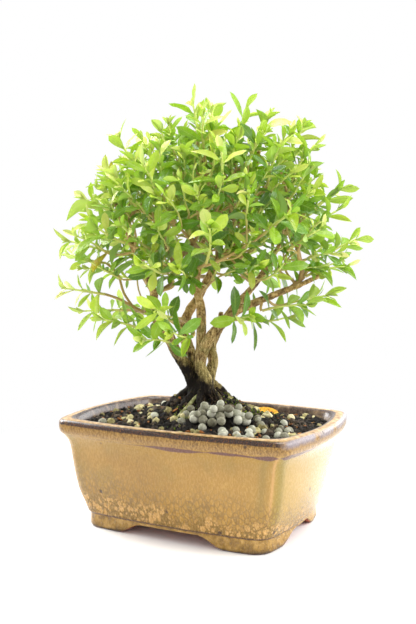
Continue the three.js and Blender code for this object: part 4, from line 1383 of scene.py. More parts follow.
@dataclass
class Pot:
    """The glazed pot: one closed skin from foot to lip and down inside."""

    rim: Frame = Frame(166, 121, 5.2, 6)
    foot: Frame = Frame(129, 96, 2.2, 3.4)
    side_steps: int = 26
    corner_steps: int = 9
    foot_wall: float = 8
    foot_rows: tuple = ((8, 0.5), (7.5, 0), (1.3, 0), (0.4, 0.35), (0, 1.2))
    foot_corner: float = 12
    recess_corner: float = 6
    floor_underside: float = 8
    arch_height: float = 6.8
    long_arch: float = 36
    short_arch: float = 26
    arch_run: float = 17
    band_top: float = 8
    band_shares: tuple[float, ...] = (0.35, 0.7, 0.9)
    drain_radius: float = 7
    drain_offset: float = 32
    drill_span: tuple[float, float] = (2, 30)
    drill_sides: int = 40
    sharp_degrees: float = 48
    outer: tuple = (
        (0, 0, 8.2, 12), (0.045, 0, 8.8, 12), (0.09, 0, 9.6, 12), (0.14, 0, 12, 11.8), (0.195, 0, 15, 11.5),
        (0.3, 0, 19.2, 11.2), (0.395, 0, 24, 11), (0.475, 0, 30.4, 10.8), (0.535, 0, 37, 10.5),
        (0.585, 0, 43.6, 10.2), (0.63, 0, 50, 10), (0.7, 0, 53.6, 10), (0.8, 0, 56, 10), (0.88, 0, 57.6, 10),
        (0.95, 0, 58.6, 10), (0.975, 0, 59.6, 10), (0.99, 0, 61, 10), (1, 0, 63, 10), (1, 0.05, 64.6, 10),
        (1, 0.4, 65.7, 10), (1, 1.2, 66.5, 10), (1, 2.6, 66.95, 10.3), (1, 4.4, 67, 11), (1, 6, 66.85, 11.6),
        (1, 7.1, 66.2, 12), (1, 7.7, 65.1, 12), (1, 8.4, 63, 12), (0.87, 7.7, 57, 11.7), (0.565, 6.2, 42, 11),
        (0.34, 6.7, 21, 10), (0.25, 7.9, 16.4, 9), (0.195, 9, 15, 8),
    )
    inner_from: int = 23
    clay_rings: int = 4

    def outline(self, share: float, inset: float, height: float, radius: float, scale: float = 1.0) -> Point:
        """Returns one closed outline of the pot.

        Args:
            share: How far it is on the way from the foot's outline to the rim's.
            inset: How far it lies inside that line, in millimetres.
            height: Its height.
            radius: The radius of its corners.
            scale: A factor on its length and depth.

        Returns:
            Its places, one row each.
        """
        long_bow = between(self.foot.long_bow, self.rim.long_bow, share)
        short_bow = between(self.foot.short_bow, self.rim.short_bow, share)
        half_length = between(self.foot.length, self.rim.length, share) / 2 - inset
        half_depth = between(self.foot.depth, self.rim.depth, share) / 2 - inset
        long_slope = math.atan((2 * long_bow) / (half_length - radius))
        short_slope = math.atan((2 * short_bow) / (half_depth - radius))
        corner_x = half_length - short_bow - radius * math.cos(short_slope)
        corner_y = half_depth - long_bow - radius * math.cos(long_slope)
        end_x = corner_x + radius * math.sin(long_slope)
        end_y = corner_y + radius * math.sin(short_slope)
        half = []
        for step in range(self.corner_steps):
            angle = between(short_slope, math.pi / 2 - long_slope, step / self.corner_steps)
            half.append((corner_x + radius * math.cos(angle), corner_y + radius * math.sin(angle)))
        for step in range(self.side_steps):
            across = 1 - (2 * step) / self.side_steps
            half.append((across * end_x, half_depth - long_bow * across**2))
        for step in range(self.corner_steps):
            angle = between(math.pi / 2 + long_slope, math.pi - short_slope, step / self.corner_steps)
            half.append((-corner_x + radius * math.cos(angle), corner_y + radius * math.sin(angle)))
        for step in range(self.side_steps):
            across = 1 - (2 * step) / self.side_steps
            half.append((-(half_length - short_bow * across**2), across * end_y))
        flat = np.array(half) * scale
        rows = np.concatenate([flat, -flat])
        return np.column_stack([rows, np.full(len(rows), float(height))])

    def arch(self, x: float, y: float) -> float:
        """Returns how high the foot's lower edge stands at a place on its band.

        Args:
            x: The place along the pot.
            y: The place across it.

        Returns:
            The height.
        """
        along_front = abs(y) / self.foot.depth > abs(x) / self.foot.length
        from_end = (self.long_arch - abs(x)) if along_front else (self.short_arch - abs(y))
        share = min(1.0, max(0.0, from_end / self.arch_run))
        return self.arch_height * share * share * (3 - 2 * share)

    def mesh(self) -> bpy.types.Mesh:
        """Builds the pot's skin.

        Returns:
            The mesh.
        """
        bottom = self.outline(0, 0, 0, self.foot_corner)
        arches = np.array([self.arch(x, y) for x, y, _ in bottom])
        rings = [self.outline(0, self.foot_wall, self.floor_underside, self.recess_corner)]
        for inward, lift in self.foot_rows:
            corner = between(self.foot_corner, self.recess_corner, inward / self.foot_wall)
            ring = self.outline(0, inward, 0, corner)
            ring[:, 2] = arches + lift * (1 - arches / self.floor_underside)
            rings.append(ring)
        low = rings[-1][:, 2]
        for share in self.band_shares:
            ring = bottom.copy()
            ring[:, 2] = low + (self.band_top - low) * share
            rings.append(ring)
        first_outer = len(rings)
        rings += [self.outline(*row) for row in self.outer]
        skin = mesh_from("pot_skin", np.concatenate(rings), loft_faces(len(rings), len(bottom)))
        numbers = np.repeat(np.arange(len(rings)), len(bottom))
        set_attribute(skin, "inner", numbers >= first_outer + self.inner_from)
        set_attribute(skin, "clay", numbers < self.clay_rings)
        carrier = stand("pot_carrier", skin)
        drills = [self._drill(x) for x in (-self.drain_offset, self.drain_offset)]
        for drill in drills:
            cut = carrier.modifiers.new("drain", "BOOLEAN")
            cut.operation = "DIFFERENCE"
            cut.object = drill
            cut.solver = "EXACT"
        result = cover(plain_mesh(carrier), GlazeFinish().material())
        for drill in drills:
            bpy.data.objects.remove(drill)
        result.set_sharp_from_angle(angle=math.radians(self.sharp_degrees))
        return result

    def _drill(self, x: float) -> bpy.types.Object:
        """Returns the round bar that a drain hole is cut with.

        Args:
            x: Where the hole is, along the pot.

        Returns:
            The bar.
        """
        turns = 2 * np.pi * np.arange(self.drill_sides) / self.drill_sides
        circle = self.drain_radius * np.column_stack([np.cos(turns), np.sin(turns), np.zeros(len(turns))])
        points = np.concatenate([circle + (x, 0.0, height) for height in self.drill_span])
        return stand("drill", mesh_from("drill", points, loft_faces(2, len(turns))))

    def build(self) -> None:
        """Makes the pot's piece and dresses the drain meshes."""
        fit_piece("glazed_pot", self.mesh(), ["pot"])
        plastic = NETTING.material()
        for name in ("drain_mesh_left", "drain_mesh_right"):
            frame["nodes"][name].material_slots[0].material = plastic


# ---------------------------------------------------------------- soil


@dataclass(frozen=True)
class Oval:
    """A turned ellipse seen from above: its middle, half its length and width, and its turn."""

    x: float
    y: float
    length: float
    width: float
    turn: float

    def share(self, x: float, y: float) -> float:
        """Returns how far out a place is, 1 on the line.

        Args:
            x: The place along the pot.
            y: The place across it.

        Returns:
            The share.
        """
        along = (x - self.x) * math.cos(self.turn) + (y - self.y) * math.sin(self.turn)
        across = -(x - self.x) * math.sin(self.turn) + (y - self.y) * math.cos(self.turn)
        return math.hypot(along / self.length, across / self.width)

    def at(self, along: Any, across: Any) -> tuple[Any, Any]:
        """Returns the place, or the places, so far along and across it."""
        x = self.x + along * math.cos(self.turn) - across * math.sin(self.turn)
        return x, self.y + along * math.sin(self.turn) + across * math.cos(self.turn)


@dataclass
class Ground:
    """The soil, its loose bits, pellets, moss and the fallen leaf."""

    pot: Pot
    rim_height: float = 61.5
    mounds: tuple = ((-15, -5, 6.5, 8), (0, 1, 10.5, 27), (1, 9, 11.5, 11))
    ripple: float = 0.7
    inner: tuple = ((0.195, 9, 15, 8), (0.34, 6.7, 21, 10), (0.565, 6.2, 42, 11))
    edge_share: float = 0.969
    edge_inset: float = 8.6
    edge_corner: float = 11.93
    heap: Oval = Oval(20, -20, 18.5, 13, 0.42)
    trunk: tuple[float, float] = (-2.0, 0.0)
    moss: tuple = ((1, -1, -24, 7, 10), (1, 21, 13, 13, 11), (0.6, -16, 8, 10, 8))
    core_rise: float = 5.2
    pellet_radius: float = 2.85
    fallen: Oval = Oval(29, 31, 15, 7, 0.3)
    margin: float = 2.4
    bed_slack: float = 0.35
    bed_rings: int = 66
    bed_lowering: float = 0.5
    rough_height: float = 1.5
    rough_grain: float = 0.28
    calm_edge: float = 0.04
    sheet_spacing: float = 3
    heap_spacing: float = 5.9
    row_share: float = 0.866
    jitter: float = 0.3
    settled: float = 1.1
    strewn_settled: float = 1.2
    loose_margin: float = 18
    loose_count: int = 23
    loose_pellets: int = 8
    loose_share: float = 1.55
    trunk_room: float = 14
    corner_room: float = 9
    chip_sizes: tuple[float, float] = (1.9, 3.6)
    chip_widths: tuple[float, float] = (0.5, 0.9)
    chip_height: float = 0.55
    rolled_count: int = 12
    rolled_shares: tuple[float, float] = (1.08, 1.36)
    far_count: int = 22
    far_xs: tuple[float, float] = (30, 62)
    far_ys: tuple[float, float] = (-42, 6)
    sown: Point = field(init=False)

    def __post_init__(self) -> None:
        """Works out the line that loose bits stay inside."""
        inset = self.edge_inset + self.margin
        self.sown = self.pot.outline(self.edge_share, inset, 0, self.edge_corner)[:, :2]

    def height(self, x: float, y: float) -> float:
        """Returns the height of the soil's smooth surface.

        Args:
            x: The place along the pot.
            y: The place across it.

        Returns:
            The height.
        """
        level = self.rim_height
        for centre_x, centre_y, rise, spread in self.mounds:
            squared = (x - centre_x) ** 2 + (y - centre_y) ** 2
            level += rise * math.exp(-squared / (2 * spread**2))
        return level + self.ripple * math.sin(x / 5.3) * math.cos(y / 4.7 + 0.6)

    def core_height(self, x: float, y: float) -> float:
        """Returns the height of the pellets' lower layer."""
        share = min(1.0, self.heap.share(x, y))
        return self.height(x, y) + self.core_rise * (1 - share**2)

    def from_trunk(self, x: float, y: float) -> float:
        """Returns how far a place is from the trunk's middle."""
        return math.hypot(x - self.trunk[0], y - self.trunk[1])

    def bed(self) -> bpy.types.Mesh:
        """Builds the soil's body, with a rough top.

        Returns:
            The mesh.
        """
        rows = np.array(self.inner) + (0, self.bed_slack, self.bed_slack, 0)
        rings = [self.pot.outline(*row) for row in rows]
        scales = np.linspace(1, 0.02, self.bed_rings)
        edge_row = (self.edge_share, self.edge_inset, 0, self.edge_corner)
        tops = [self.pot.outline(*edge_row, scale) for scale in scales]
        top = np.concatenate(tops)
        rough = relief(top, (self.rough_grain,) * 3, 4, 3.7)
        edge = np.repeat(np.clip((1 - scales) / self.calm_edge, 0, 1), len(tops[0]))
        smooth = np.array([self.height(x, y) for x, y, _ in top])
        top[:, 2] = smooth + rough * self.rough_height * edge - self.bed_lowering
        faces = loft_faces(len(rings) + len(tops), len(tops[0]))
        return cover(mesh_from("bed", np.concatenate([*rings, top]), faces), DAMP_SOIL.material())

    def top_sheet(self, keep: Density) -> bpy.types.Mesh:
        """Returns a sheet over the soil with a density on each point, for bits to be strewn on.

        Args:
            keep: The density at a place.

        Returns:
            The sheet.
        """
        spacing = self.sheet_spacing
        columns = int(self.pot.rim.length / spacing)
        rows = int(self.pot.rim.depth / spacing)
        xs = (np.arange(columns + 1) - columns / 2) * spacing
        ys = (np.arange(rows + 1) - rows / 2) * spacing
        points = [(x, y, self.height(x, y)) for y in ys for x in xs]
        lows = [row * (columns + 1) + column for row in range(rows) for column in range(columns)]
        faces = [(low, low + 1, low + columns + 2, low + columns + 1) for low in lows]
        sheet = mesh_from("sheet", points, faces)
        set_attribute(sheet, "density", [self.is_inside(x, y) * keep(x, y) for x, y, _ in points])
        return sheet

    def is_inside(self, x: float, y: float) -> bool:
        """Tells whether a place lies on the soil, clear of the wall.

        Args:
            x: The place along the pot.
            y: The place across it.

        Returns:
            Whether it does.
        """
        start, end = self.sown, np.roll(self.sown, -1, axis=0)
        spans = (start[:, 1] > y) != (end[:, 1] > y)
        rise = np.where(spans, end[:, 1] - start[:, 1], 1.0)
        crossing = start[:, 0] + (end[:, 0] - start[:, 0]) * (y - start[:, 1]) / rise
        return bool(np.count_nonzero(spans & (x < crossing)) % 2)

    def strew(
        self, piece: str, kind: Crumb, shapes: bpy.types.Collection, keep: Density, per_area: float,
        sizes: tuple[float, float], seed: int, rise: float, gap: float, slot: str = "soil",
    ) -> None:
        """Strews bits over the soil as one piece.

        Args:
            piece: The piece's name.
            kind: The kind of bit.
            shapes: The shapes to pick from.
            keep: The density wanted at a place.
            per_area: Bits for each square metre where the density is one.
            sizes: Least and greatest size, in metres.
            seed: The seed of every draw.
            rise: How far the bits' middles stand above the soil, in metres.
            gap: The least distance between two bits, in metres.
            slot: Not used.
        """
        rule = Builder(f"{piece}_rule")
        density = rule.size("Density", per_area)
        least, most = rule.size("Least size", sizes[0]), rule.size("Greatest size", sizes[1])
        inputs = {"Mesh": rule.geometry, "Distance Min": gap, "Density Max": density, "Seed": seed}
        spread = rule.wire(
            "GeometryNodeDistributePointsOnFaces",
            {"distribute_method": "POISSON"},
            {**inputs, "Density Factor": rule.attribute("density")},
            "Points",
        )
        share = {"Geometry": spread, "Name": "share", "Value": rule.chance(0.0, 1.0, seed + 1)}
        points = rule.wire("GeometryNodeStoreNamedAttribute", None, share)
        scale = least + (most - least) * rule.chance(0.0, 1.0, seed + 2) * rule.chance(0.3, 1.0, seed + 3)
        turn = rule.chance((-0.7, -0.7, -3.1), (0.7, 0.7, 3.1), seed + 4)
        placed = rule.scatter(shapes, Points=points, Rotation=turn, Scale=scale)
        inputs = {"Instances": placed, "Translation": (0, 0, rise), "Local Space": False}
        raised = rule.wire("GeometryNodeTranslateInstances", None, inputs)
        bits = rule.make(self.top_sheet(keep), raised, kind.material(), kind is Crumb.MOSS)
        fit_piece(piece, bits)

    def _heap_places(self) -> list[tuple[float, float, float]]:
        """Returns the middles of the heap's pellets, placed as in the solids.

        Returns:
            The middles.
        """
        random = Draw(22)
        spacing = self.heap_spacing
        reach = math.ceil(self.heap.length / spacing) + 1
        places = []
        for row in range(-reach, reach + 1):
            for column in range(-reach, reach + 1):
                shift = 0.5 * (abs(row) % 2)
                x = self.heap.x + (column + shift) * spacing + self.jitter * (random() - 0.5)
                y = self.heap.y + row * spacing * self.row_share + self.jitter * (random() - 0.5)
                if self.heap.share(x, y) < 1:
                    places.append((x, y, self.core_height(x, y) + self.settled))
                    random(), random()
        return places

    def _loose_places(self) -> tuple[list[tuple[float, ...]], list[tuple[float, ...]]]:
        """Returns the strewn pellets and the chips of the solids, each with its size.

        Returns:
            A row for each pellet and a row for each chip.
        """
        random = Draw(23)
        half_length = self.pot.rim.length / 2 - self.loose_margin
        half_depth = self.pot.rim.depth / 2 - self.loose_margin
        room = self.corner_room
        pellets: list[tuple[float, ...]] = []
        chips: list[tuple[float, ...]] = []
        while len(pellets) + len(chips) < self.loose_count:
            x = half_length * (2 * random() - 1)
            y = half_depth * (2 * random() - 1)
            corner = math.hypot(max(0, abs(x) - half_length + room), max(0, abs(y) - half_depth + room))
            near_heap = self.heap.share(x, y) <= self.loose_share
            near_leaf = math.hypot(x - self.fallen.x, y - self.fallen.y) < self.fallen.length
            if near_heap or near_leaf or self.from_trunk(x, y) <= self.trunk_room or corner >= room:
                continue
            if len(pellets) < self.loose_pellets:
                pellets.append((x, y, self.height(x, y) + self.settled, self.pellet_radius))
                random(), random()
            else:
                size = between(*self.chip_sizes, random())
                width = between(*self.chip_widths, random())
                tilt = 0.8 * (random() - 0.5)
                chips.append((x, y, self.height(x, y) + 0.2, size, width, tilt, math.tau * random()))
        return pellets, chips

    def pellets(self) -> bpy.types.Mesh:
        """Builds the heap of round pellets and those that rolled off it.

        Returns:
            The mesh.
        """
        random = Draw(31)
        heap, radius = self.heap, self.pellet_radius
        rows = []
        for x, y, z in self._heap_places():
            if random() > 0.1 + 0.45 * max(0.0, abs(x - heap.x) / heap.length - 0.35):
                rows.append((x, y, z + 0.9 * (random() - 0.5), radius))
        rows += self._loose_places()[0]
        for x, y, z in self._heap_places()[::3]:
            place = (x + 2.4 * random(), y - 2.2 * random(), z + 2.9 + random())
            rows.append((*place, radius * between(0.8, 0.95, random())))
        for step in range(self.rolled_count):
            turn = step * GOLDEN_ANGLE
            reach = between(*self.rolled_shares, random())
            x, y = heap.at(heap.length * reach * math.cos(turn), heap.width * reach * math.sin(turn))
            if self.is_inside(x, y) and self.from_trunk(x, y) > 15:
                level = self.height(x, y) + self.strewn_settled
                rows.append((x, y, level, radius * between(0.85, 1.0, random())))
        for _ in range(self.far_count):
            x = between(*self.far_xs, random())
            y = between(*self.far_ys, random())
            if self.is_inside(x, y) and heap.share(x, y) > 1.4 and random() < 0.7:
                level = self.height(x, y) + self.strewn_settled
                rows.append((x, y, level, radius * between(0.75, 1.0, random())))
        table = np.array(rows)
        turns = [[math.tau * random() for _ in range(3)] for _ in rows]
        sizes = table[:, 3:4] * np.array([[between(0.92, 1.06, random()) for _ in range(3)] for _ in rows])
        shares = [random() for _ in rows]
        shapes = pebble_shapes("pellet_shapes", 4, 3, 0.07, 0.9, 5)
        finish = Crumb.PELLET.material()
        mesh = place_shapes("pellet_rule", table[:, :3], turns, sizes, {"share": shares}, shapes, finish)
        discard(shapes)
        return mesh

    def chips(self) -> bpy.types.Mesh:
        """Builds the larger pale chips of the solids.

        Returns:
            The mesh.
        """
        rows = self._loose_places()[1]
        places = [row[:3] for row in rows]
        shapes = [(1, width, self.chip_height) for *_, width, _, _ in rows]
        sizes = np.array([row[3] for row in rows])[:, None] * shapes
        turns = [(0, *row[5:]) for row in rows]
        random = Draw(32)
        shares = [random() for _ in rows]
        pebbles = pebble_shapes("chip_shapes", 5, 2, 0.3, 2.2, 11)
        finish = Crumb.CHIP.material()
        mesh = place_shapes("chip_rule", places, turns, sizes, {"share": shares}, pebbles, finish, False)
        discard(pebbles)
        return mesh

    def fallen_leaf(self) -> bpy.types.Mesh:
        """Builds the curled yellow leaf that lies on the soil.

        Returns:
            The mesh.
        """
        blade = blade_mesh("fallen_blade", BladeForm(0.9, 0.7, 0.16, 0.05, 0.0), 12, 3)
        across, along, lift = vectors_of(blade, "co").T
        curl = 0.9 * (along - 0.5) ** 2 * 2 + 0.25 * np.sin(along * 7)
        xs, ys = self.fallen.at((along - 0.5) * self.fallen.length, across * self.fallen.width)
        ground = np.array([self.height(x, y) for x, y in zip(xs, ys)])
        heights = (lift + across * 0.5) * self.fallen.width + curl + ground + 1.3
        blade.vertices.foreach_set("co", (np.column_stack([xs, ys, heights]) * MM).ravel())
        blade.flip_normals()
        return cover(blade, DRY_LEAF.material())

    def open_soil(self, x: float, y: float) -> float:
        """Keeps bits off the heap and the trunk."""
        return float(self.heap.share(x, y) > 1.02 and self.from_trunk(x, y) > 9)

    def off_mound(self, x: float, y: float) -> float:
        """Keeps bits off the heap and thin near the trunk."""
        return self.open_soil(x, y) * min(1.0, max(0.0, (self.from_trunk(x, y) - 14) / 14))

    def mossy(self, x: float, y: float) -> float:
        """Puts moss beside the heap, behind it and left of the trunk.

        Args:
            x: The place along the pot.
            y: The place across it.

        Returns:
            The density.
        """
        patches = sum(
            full * math.exp(-(((x - at_x) / wide) ** 2) - ((y - at_y) / deep) ** 2)
            for full, at_x, at_y, wide, deep in self.moss
        )
        return self.open_soil(x, y) * min(1.0, patches)

    def build(self) -> None:
        """Makes every piece of the soil's surface."""
        fit_piece("soil_bed", self.bed(), ["soil"])
        rough = pebble_shapes("crumb_shapes", 5, 1, 0.45, 1.6, 3)
        flat = pebble_shapes("flake_shapes", 5, 1, 0.5, 1.9, 7, (1.0, 0.62, 0.3))
        lumps = pebble_shapes("lump_shapes", 5, 2, 0.32, 1.8, 9)
        tufts = tuft_shapes("tuft_shapes", 4, 13)
        strew, away = self.strew, self.off_mound
        strew("soil_crumbs", Crumb.COMPOST, rough, self.open_soil, 210000, (0.0008, 0.0026), 41, 0, 0.0015)
        strew("soil_clods", Crumb.COMPOST, lumps, away, 30000, (0.0014, 0.0040), 47, -0.0002, 0.0035)
        strew("pale_grit", Crumb.STONE, lumps, away, 7500, (0.0012, 0.0042), 53, 0.0006, 0.0040)
        strew("bark_flakes", Crumb.BARK_BIT, flat, away, 14500, (0.0012, 0.0036), 59, 0.0008, 0.0035)
        fit_piece("pale_chips", self.chips())
        strew("moss", Crumb.MOSS, tufts, self.mossy, 420000, (0.0013, 0.0030), 61, -0.0002, 0.0011, "leaf")
        discard(rough, flat, lumps, tufts)
        fit_piece("pellets", self.pellets(), ["pellet_heap"])
        fit_piece("fallen_yellow_leaf", self.fallen_leaf(), ["fallen_leaf"])


# ---------------------------------------------------------------- small shapes


@dataclass(frozen=True)
class BladeForm:
    """The outline and bend of a leaf blade: how it widens and narrows, folds, curls and waves."""

    widening: float = 0.95
    narrowing: float = 0.7
    fold: float = 0.14
    curl: float = 0.0
    wave: float = 0.0

    def half_width(self, share: float) -> float:
        """Returns half the width at a share of the length, for a blade of width one.

        Args:
            share: The share, 0 at the foot.

        Returns:
            Half the width.
        """
        peak = self.widening / (self.widening + self.narrowing)
        full = peak**self.widening * (1 - peak) ** self.narrowing
        blade = 0.5 * share**self.widening * (1 - share) ** self.narrowing / full
        return max(blade, 0.055 * (1 - share))


BLADES = (
    BladeForm(1.25, 0.76, 0.10, 0.00, 0.03),
    BladeForm(1.12, 0.86, 0.22, -0.10, 0.05),
    BladeForm(1.40, 0.70, 0.16, 0.08, 0.04),
    BladeForm(1.15, 0.92, 0.42, 0.04, 0.02),
    BladeForm(1.30, 0.74, 0.06, -0.06, 0.07),
    BladeForm(1.05, 1.00, 0.70, 0.05, 0.00),
)


def blade_mesh(name: str, form: BladeForm, stations: int = 6, columns: int = 2) -> bpy.types.Mesh:
    """Builds a closed, lens-thin blade one unit long and one wide, mapped over its face and back.

    Args:
        name: The mesh's name.
        form: Its outline and bends.
        stations: Stretches along it.
        columns: Stretches from midrib to margin.

    Returns:
        The mesh, in units, with "sweep", the square of the share along it, on its points.
    """
    across = np.linspace(-1, 1, 2 * columns + 1)
    points: list[tuple[float, float, float]] = []
    shares: list[float] = []
    numbers: dict[tuple[int, int, bool], int] = {}
    for station in range(stations + 1):
        share = (station / stations) ** 0.92
        half = form.half_width(share) if station < stations else 0.0
        for column, out in enumerate(across):
            margin = abs(out) == 1 or station == stations
            for under in (False, True):
                if margin and under:
                    numbers[station, column, True] = numbers[station, column, False]
                    continue
                if station == stations and column:
                    numbers[station, column, False] = numbers[station, 0, False]
                    continue
                fold = form.fold * abs(out) * half * 2
                curl = form.curl * (share - 0.4) ** 2
                wave = form.wave * math.sin(9 * share + 2 * out) * abs(out)
                thick = (-0.032 if under else 0.032) * (1 - out * out)
                numbers[station, column, under] = len(points)
                points.append((out * half, share, fold + curl + wave + thick))
                shares.append(share)
    faces, maps = [], []
    for station in range(stations):
        for column in range(2 * columns):
            for under in (False, True):
                corners = [(station + up, column + on) for up, on in ((0, 0), (0, 1), (1, 1), (1, 0))]
                if under:
                    corners.reverse()
                face, spots = [], []
                for corner_station, corner_column in corners:
                    number = numbers[corner_station, corner_column, under]
                    if number in face:
                        continue
                    face.append(number)
                    out = (across[corner_column] + 1) / 2 + (2 if under else 0)
                    spots.append((out, corner_station / stations))
                faces.append(tuple(face))
                maps += spots
    start = [numbers[0, column, False] for column in range(2 * columns + 1)]
    start += [numbers[0, column, True] for column in range(2 * columns - 1, 0, -1)]
    faces.append(tuple(start))
    maps += [(0.5, 0.0)] * len(start)
    mesh = mesh_from(name, points, faces, scale=1.0)
    layer = mesh.uv_layers.new(name="UVMap")
    layer.data.foreach_set("uv", np.array(maps).ravel())
    ends = product(range(stations + 1), (0, 2 * columns))
    margins = {numbers[station, column, False] for station, column in ends}
    sharp = mesh.attributes.new("sharp_edge", "BOOLEAN", "EDGE")
    for edge in mesh.edges:
        sharp.data[edge.index].value = margins.issuperset(edge.vertices)
    set_attribute(mesh, "sweep", np.array(shares) ** 2)
    return mesh


def keep_shapes(name: str, meshes: Sequence[bpy.types.Mesh]) -> bpy.types.Collection:
    """Puts meshes in a collection that a rule can pick from.

    Args:
        name: The collection's name.
        meshes: The meshes.

    Returns:
        The collection.
    """
    shapes = bpy.data.collections.new(name)
    for index, mesh in enumerate(meshes):
        shapes.objects.link(bpy.data.objects.new(f"{name}_{index}", mesh))
    return shapes


def discard(*collections: bpy.types.Collection) -> None:
    """Removes collections of shapes once their rules have run.

    Args:
        collections: The collections.
    """
    for shapes in collections:
        for shape in list(shapes.objects):
            bpy.data.objects.remove(shape)
        bpy.data.collections.remove(shapes)


def pebble_shapes(
    name: str, count: int, fineness: int, depth: float, scale: float, seed: int, squash: tuple = (1, 1, 1)
) -> bpy.types.Collection:
    """Returns rough round shapes of radius one.

    Args:
        name: The collection's name.
        count: How many shapes.
        fineness: Subdivisions of the ball that each starts from.
        depth: How deep the roughness goes.
        scale: How fine it is.
        seed: A shift that makes one set unlike another.
        squash: The size along each axis.

    Returns:
        The collection.
    """
    meshes = []
    for index in range(count):
        carrier = bmesh.new()
        bmesh.ops.create_icosphere(carrier, subdivisions=fineness, radius=1.0)
        for vertex in carrier.verts:
            away = noise.fractal(vertex.co * scale + Vector((seed, 3.1 * index, 7.7)), 0.8, 2.0, 2)
            vertex.co = Vector(vertex.co[axis] * (1 + depth * away) * squash[axis] for axis in range(3))
        mesh = bpy.data.meshes.new(f"{name}_{index}")
        carrier.to_mesh(mesh)
        carrier.free()
        meshes.append(mesh)
    return keep_shapes(name, meshes)


def tuft_shapes(name: str, count: int, seed: int) -> bpy.types.Collection:
    """Returns small tufts of moss, each a few leaning blades.

    Args:
        name: The collection's name.
        count: How many tufts there are.
        seed: The seed.

    Returns:
        The collection.
    """
    random = Draw(seed)
    meshes = []
    for index in range(count):
        points, faces = [], []
        for _ in range(6):
            turn = math.tau * random()
            lean = 0.3 + 0.7 * random()
            tall = 0.7 + 0.6 * random()
            side = np.array([-math.sin(turn), math.cos(turn), 0])
            out = np.array([math.cos(turn), math.sin(turn), 0])
            faces += loft_faces(3, 4, len(points))
            for share, width in ((0, 0.16), (0.5, 0.15), (1, 0.02)):
                middle = out * (lean * share**1.6) + UP * (tall * share)
                points += [middle + step * width for step in (side, out, -side, -out)]
        meshes.append(mesh_from(f"{name}_{index}", points, faces, scale=1.0))
    return keep_shapes(name, meshes)


def place_shapes(
    name: str, places: Sequence, turns: Sequence, sizes: Point, values: dict[str, Sequence],
    shapes: bpy.types.Collection, material: bpy.types.Material, smooth: bool = True,
    bends: Point | None = None,
) -> bpy.types.Mesh:
    """Places shapes at given places with a geometry rule.

    Args:
        name: The rule's name.
        places: A place for each shape, in millimetres.
        turns: Its three angles.
        sizes: Its size along each axis, in millimetres.
        values: Further values for each shape, kept on the result; "shape" picks one.
        shapes: The shapes to pick from.
        material: The material.
        smooth: Whether the result is shaded smooth.
        bends: How far each shape's end is moved, in millimetres, growing along its "sweep".

    Returns:
        The shapes as one mesh.
    """
    source = mesh_from(name, places)
    own = {"turn": turns, "size": sizes * MM, "shape": np.arange(len(places)) % len(shapes.objects)}
    if bends is not None:
        own["bend"] = bends * MM
    for label, numbers in (own | values).items():
        set_attribute(source, label, numbers)
    rule = Builder(name)
    scale = rule.scaled("size", rule.size("Overall size", 1.0))
    turn = rule.wire("FunctionNodeEulerToRotation", None, {0: rule.attribute("turn", "FLOAT_VECTOR")})
    points = rule.wire("GeometryNodeMeshToPoints", None, {"Mesh": rule.geometry})
    pick = rule.attribute("shape")
    placed = rule.scatter(shapes, Points=points, Rotation=turn, Scale=scale, Instance_Index=pick)
    if bends is not None:
        real = rule.wire("GeometryNodeRealizeInstances", None, {"Geometry": placed})
        offset = rule.scaled("bend", rule.attribute("sweep"))
        placed = rule.wire("GeometryNodeSetPosition", None, {"Geometry": real, "Offset": offset})
    mesh = rule.make(source, placed, material, smooth)
    for label in (*own, "sweep"):
        if label in mesh.attributes:
            mesh.attributes.remove(mesh.attributes[label])
    return mesh


def follow_paths(
    name: str, paths: Sequence[Path], sides: int, material: bpy.types.Material, detail: int = 3
) -> bpy.types.Mesh:
    """Runs round tubes along paths with a geometry rule.

    Args:
        name: The rule's name.
        paths: For each tube its points and, at each, its radius in millimetres and how woody it is.
        sides: Sides round a tube.
        material: The material.
        detail: Stretches between two points of a path.

    Returns:
        The tubes as one mesh, with "wood" on its points.
    """
    points, girths, woods = (np.concatenate(parts) for parts in zip(*paths))
    edges, first = [], 0
    for path in paths:
        edges += [(first + step, first + step + 1) for step in range(len(path[0]) - 1)]
        first += len(path[0])
    source = mesh_from(name, points, edges=edges)
    set_attribute(source, "girth", girths * MM)
    set_attribute(source, "wood", woods)
    rule = Builder(name)
    sides_in, detail_in = rule.size("Sides", sides, "Int"), rule.size("Detail", detail, "Int")
    curve = rule.wire("GeometryNodeMeshToCurve", None, {"Mesh": rule.geometry})
    eased = rule.wire("GeometryNodeCurveSplineType", {"spline_type": "CATMULL_ROM"}, {"Curve": curve})
    fine = rule.wire("GeometryNodeSetSplineResolution", None, {"Geometry": eased, "Resolution": detail_in})
    inputs = {"Resolution": sides_in, "Radius": 1.0}
    ring = rule.wire("GeometryNodeCurvePrimitiveCircle", {"mode": "RADIUS"}, inputs)
    inputs = {"Curve": fine, "Profile Curve": ring, "Scale": rule.attribute("girth"), "Fill Caps": True}
    return rule.make(source, rule.wire("GeometryNodeCurveToMesh", None, inputs), material)


# ---------------------------------------------------------------- wood


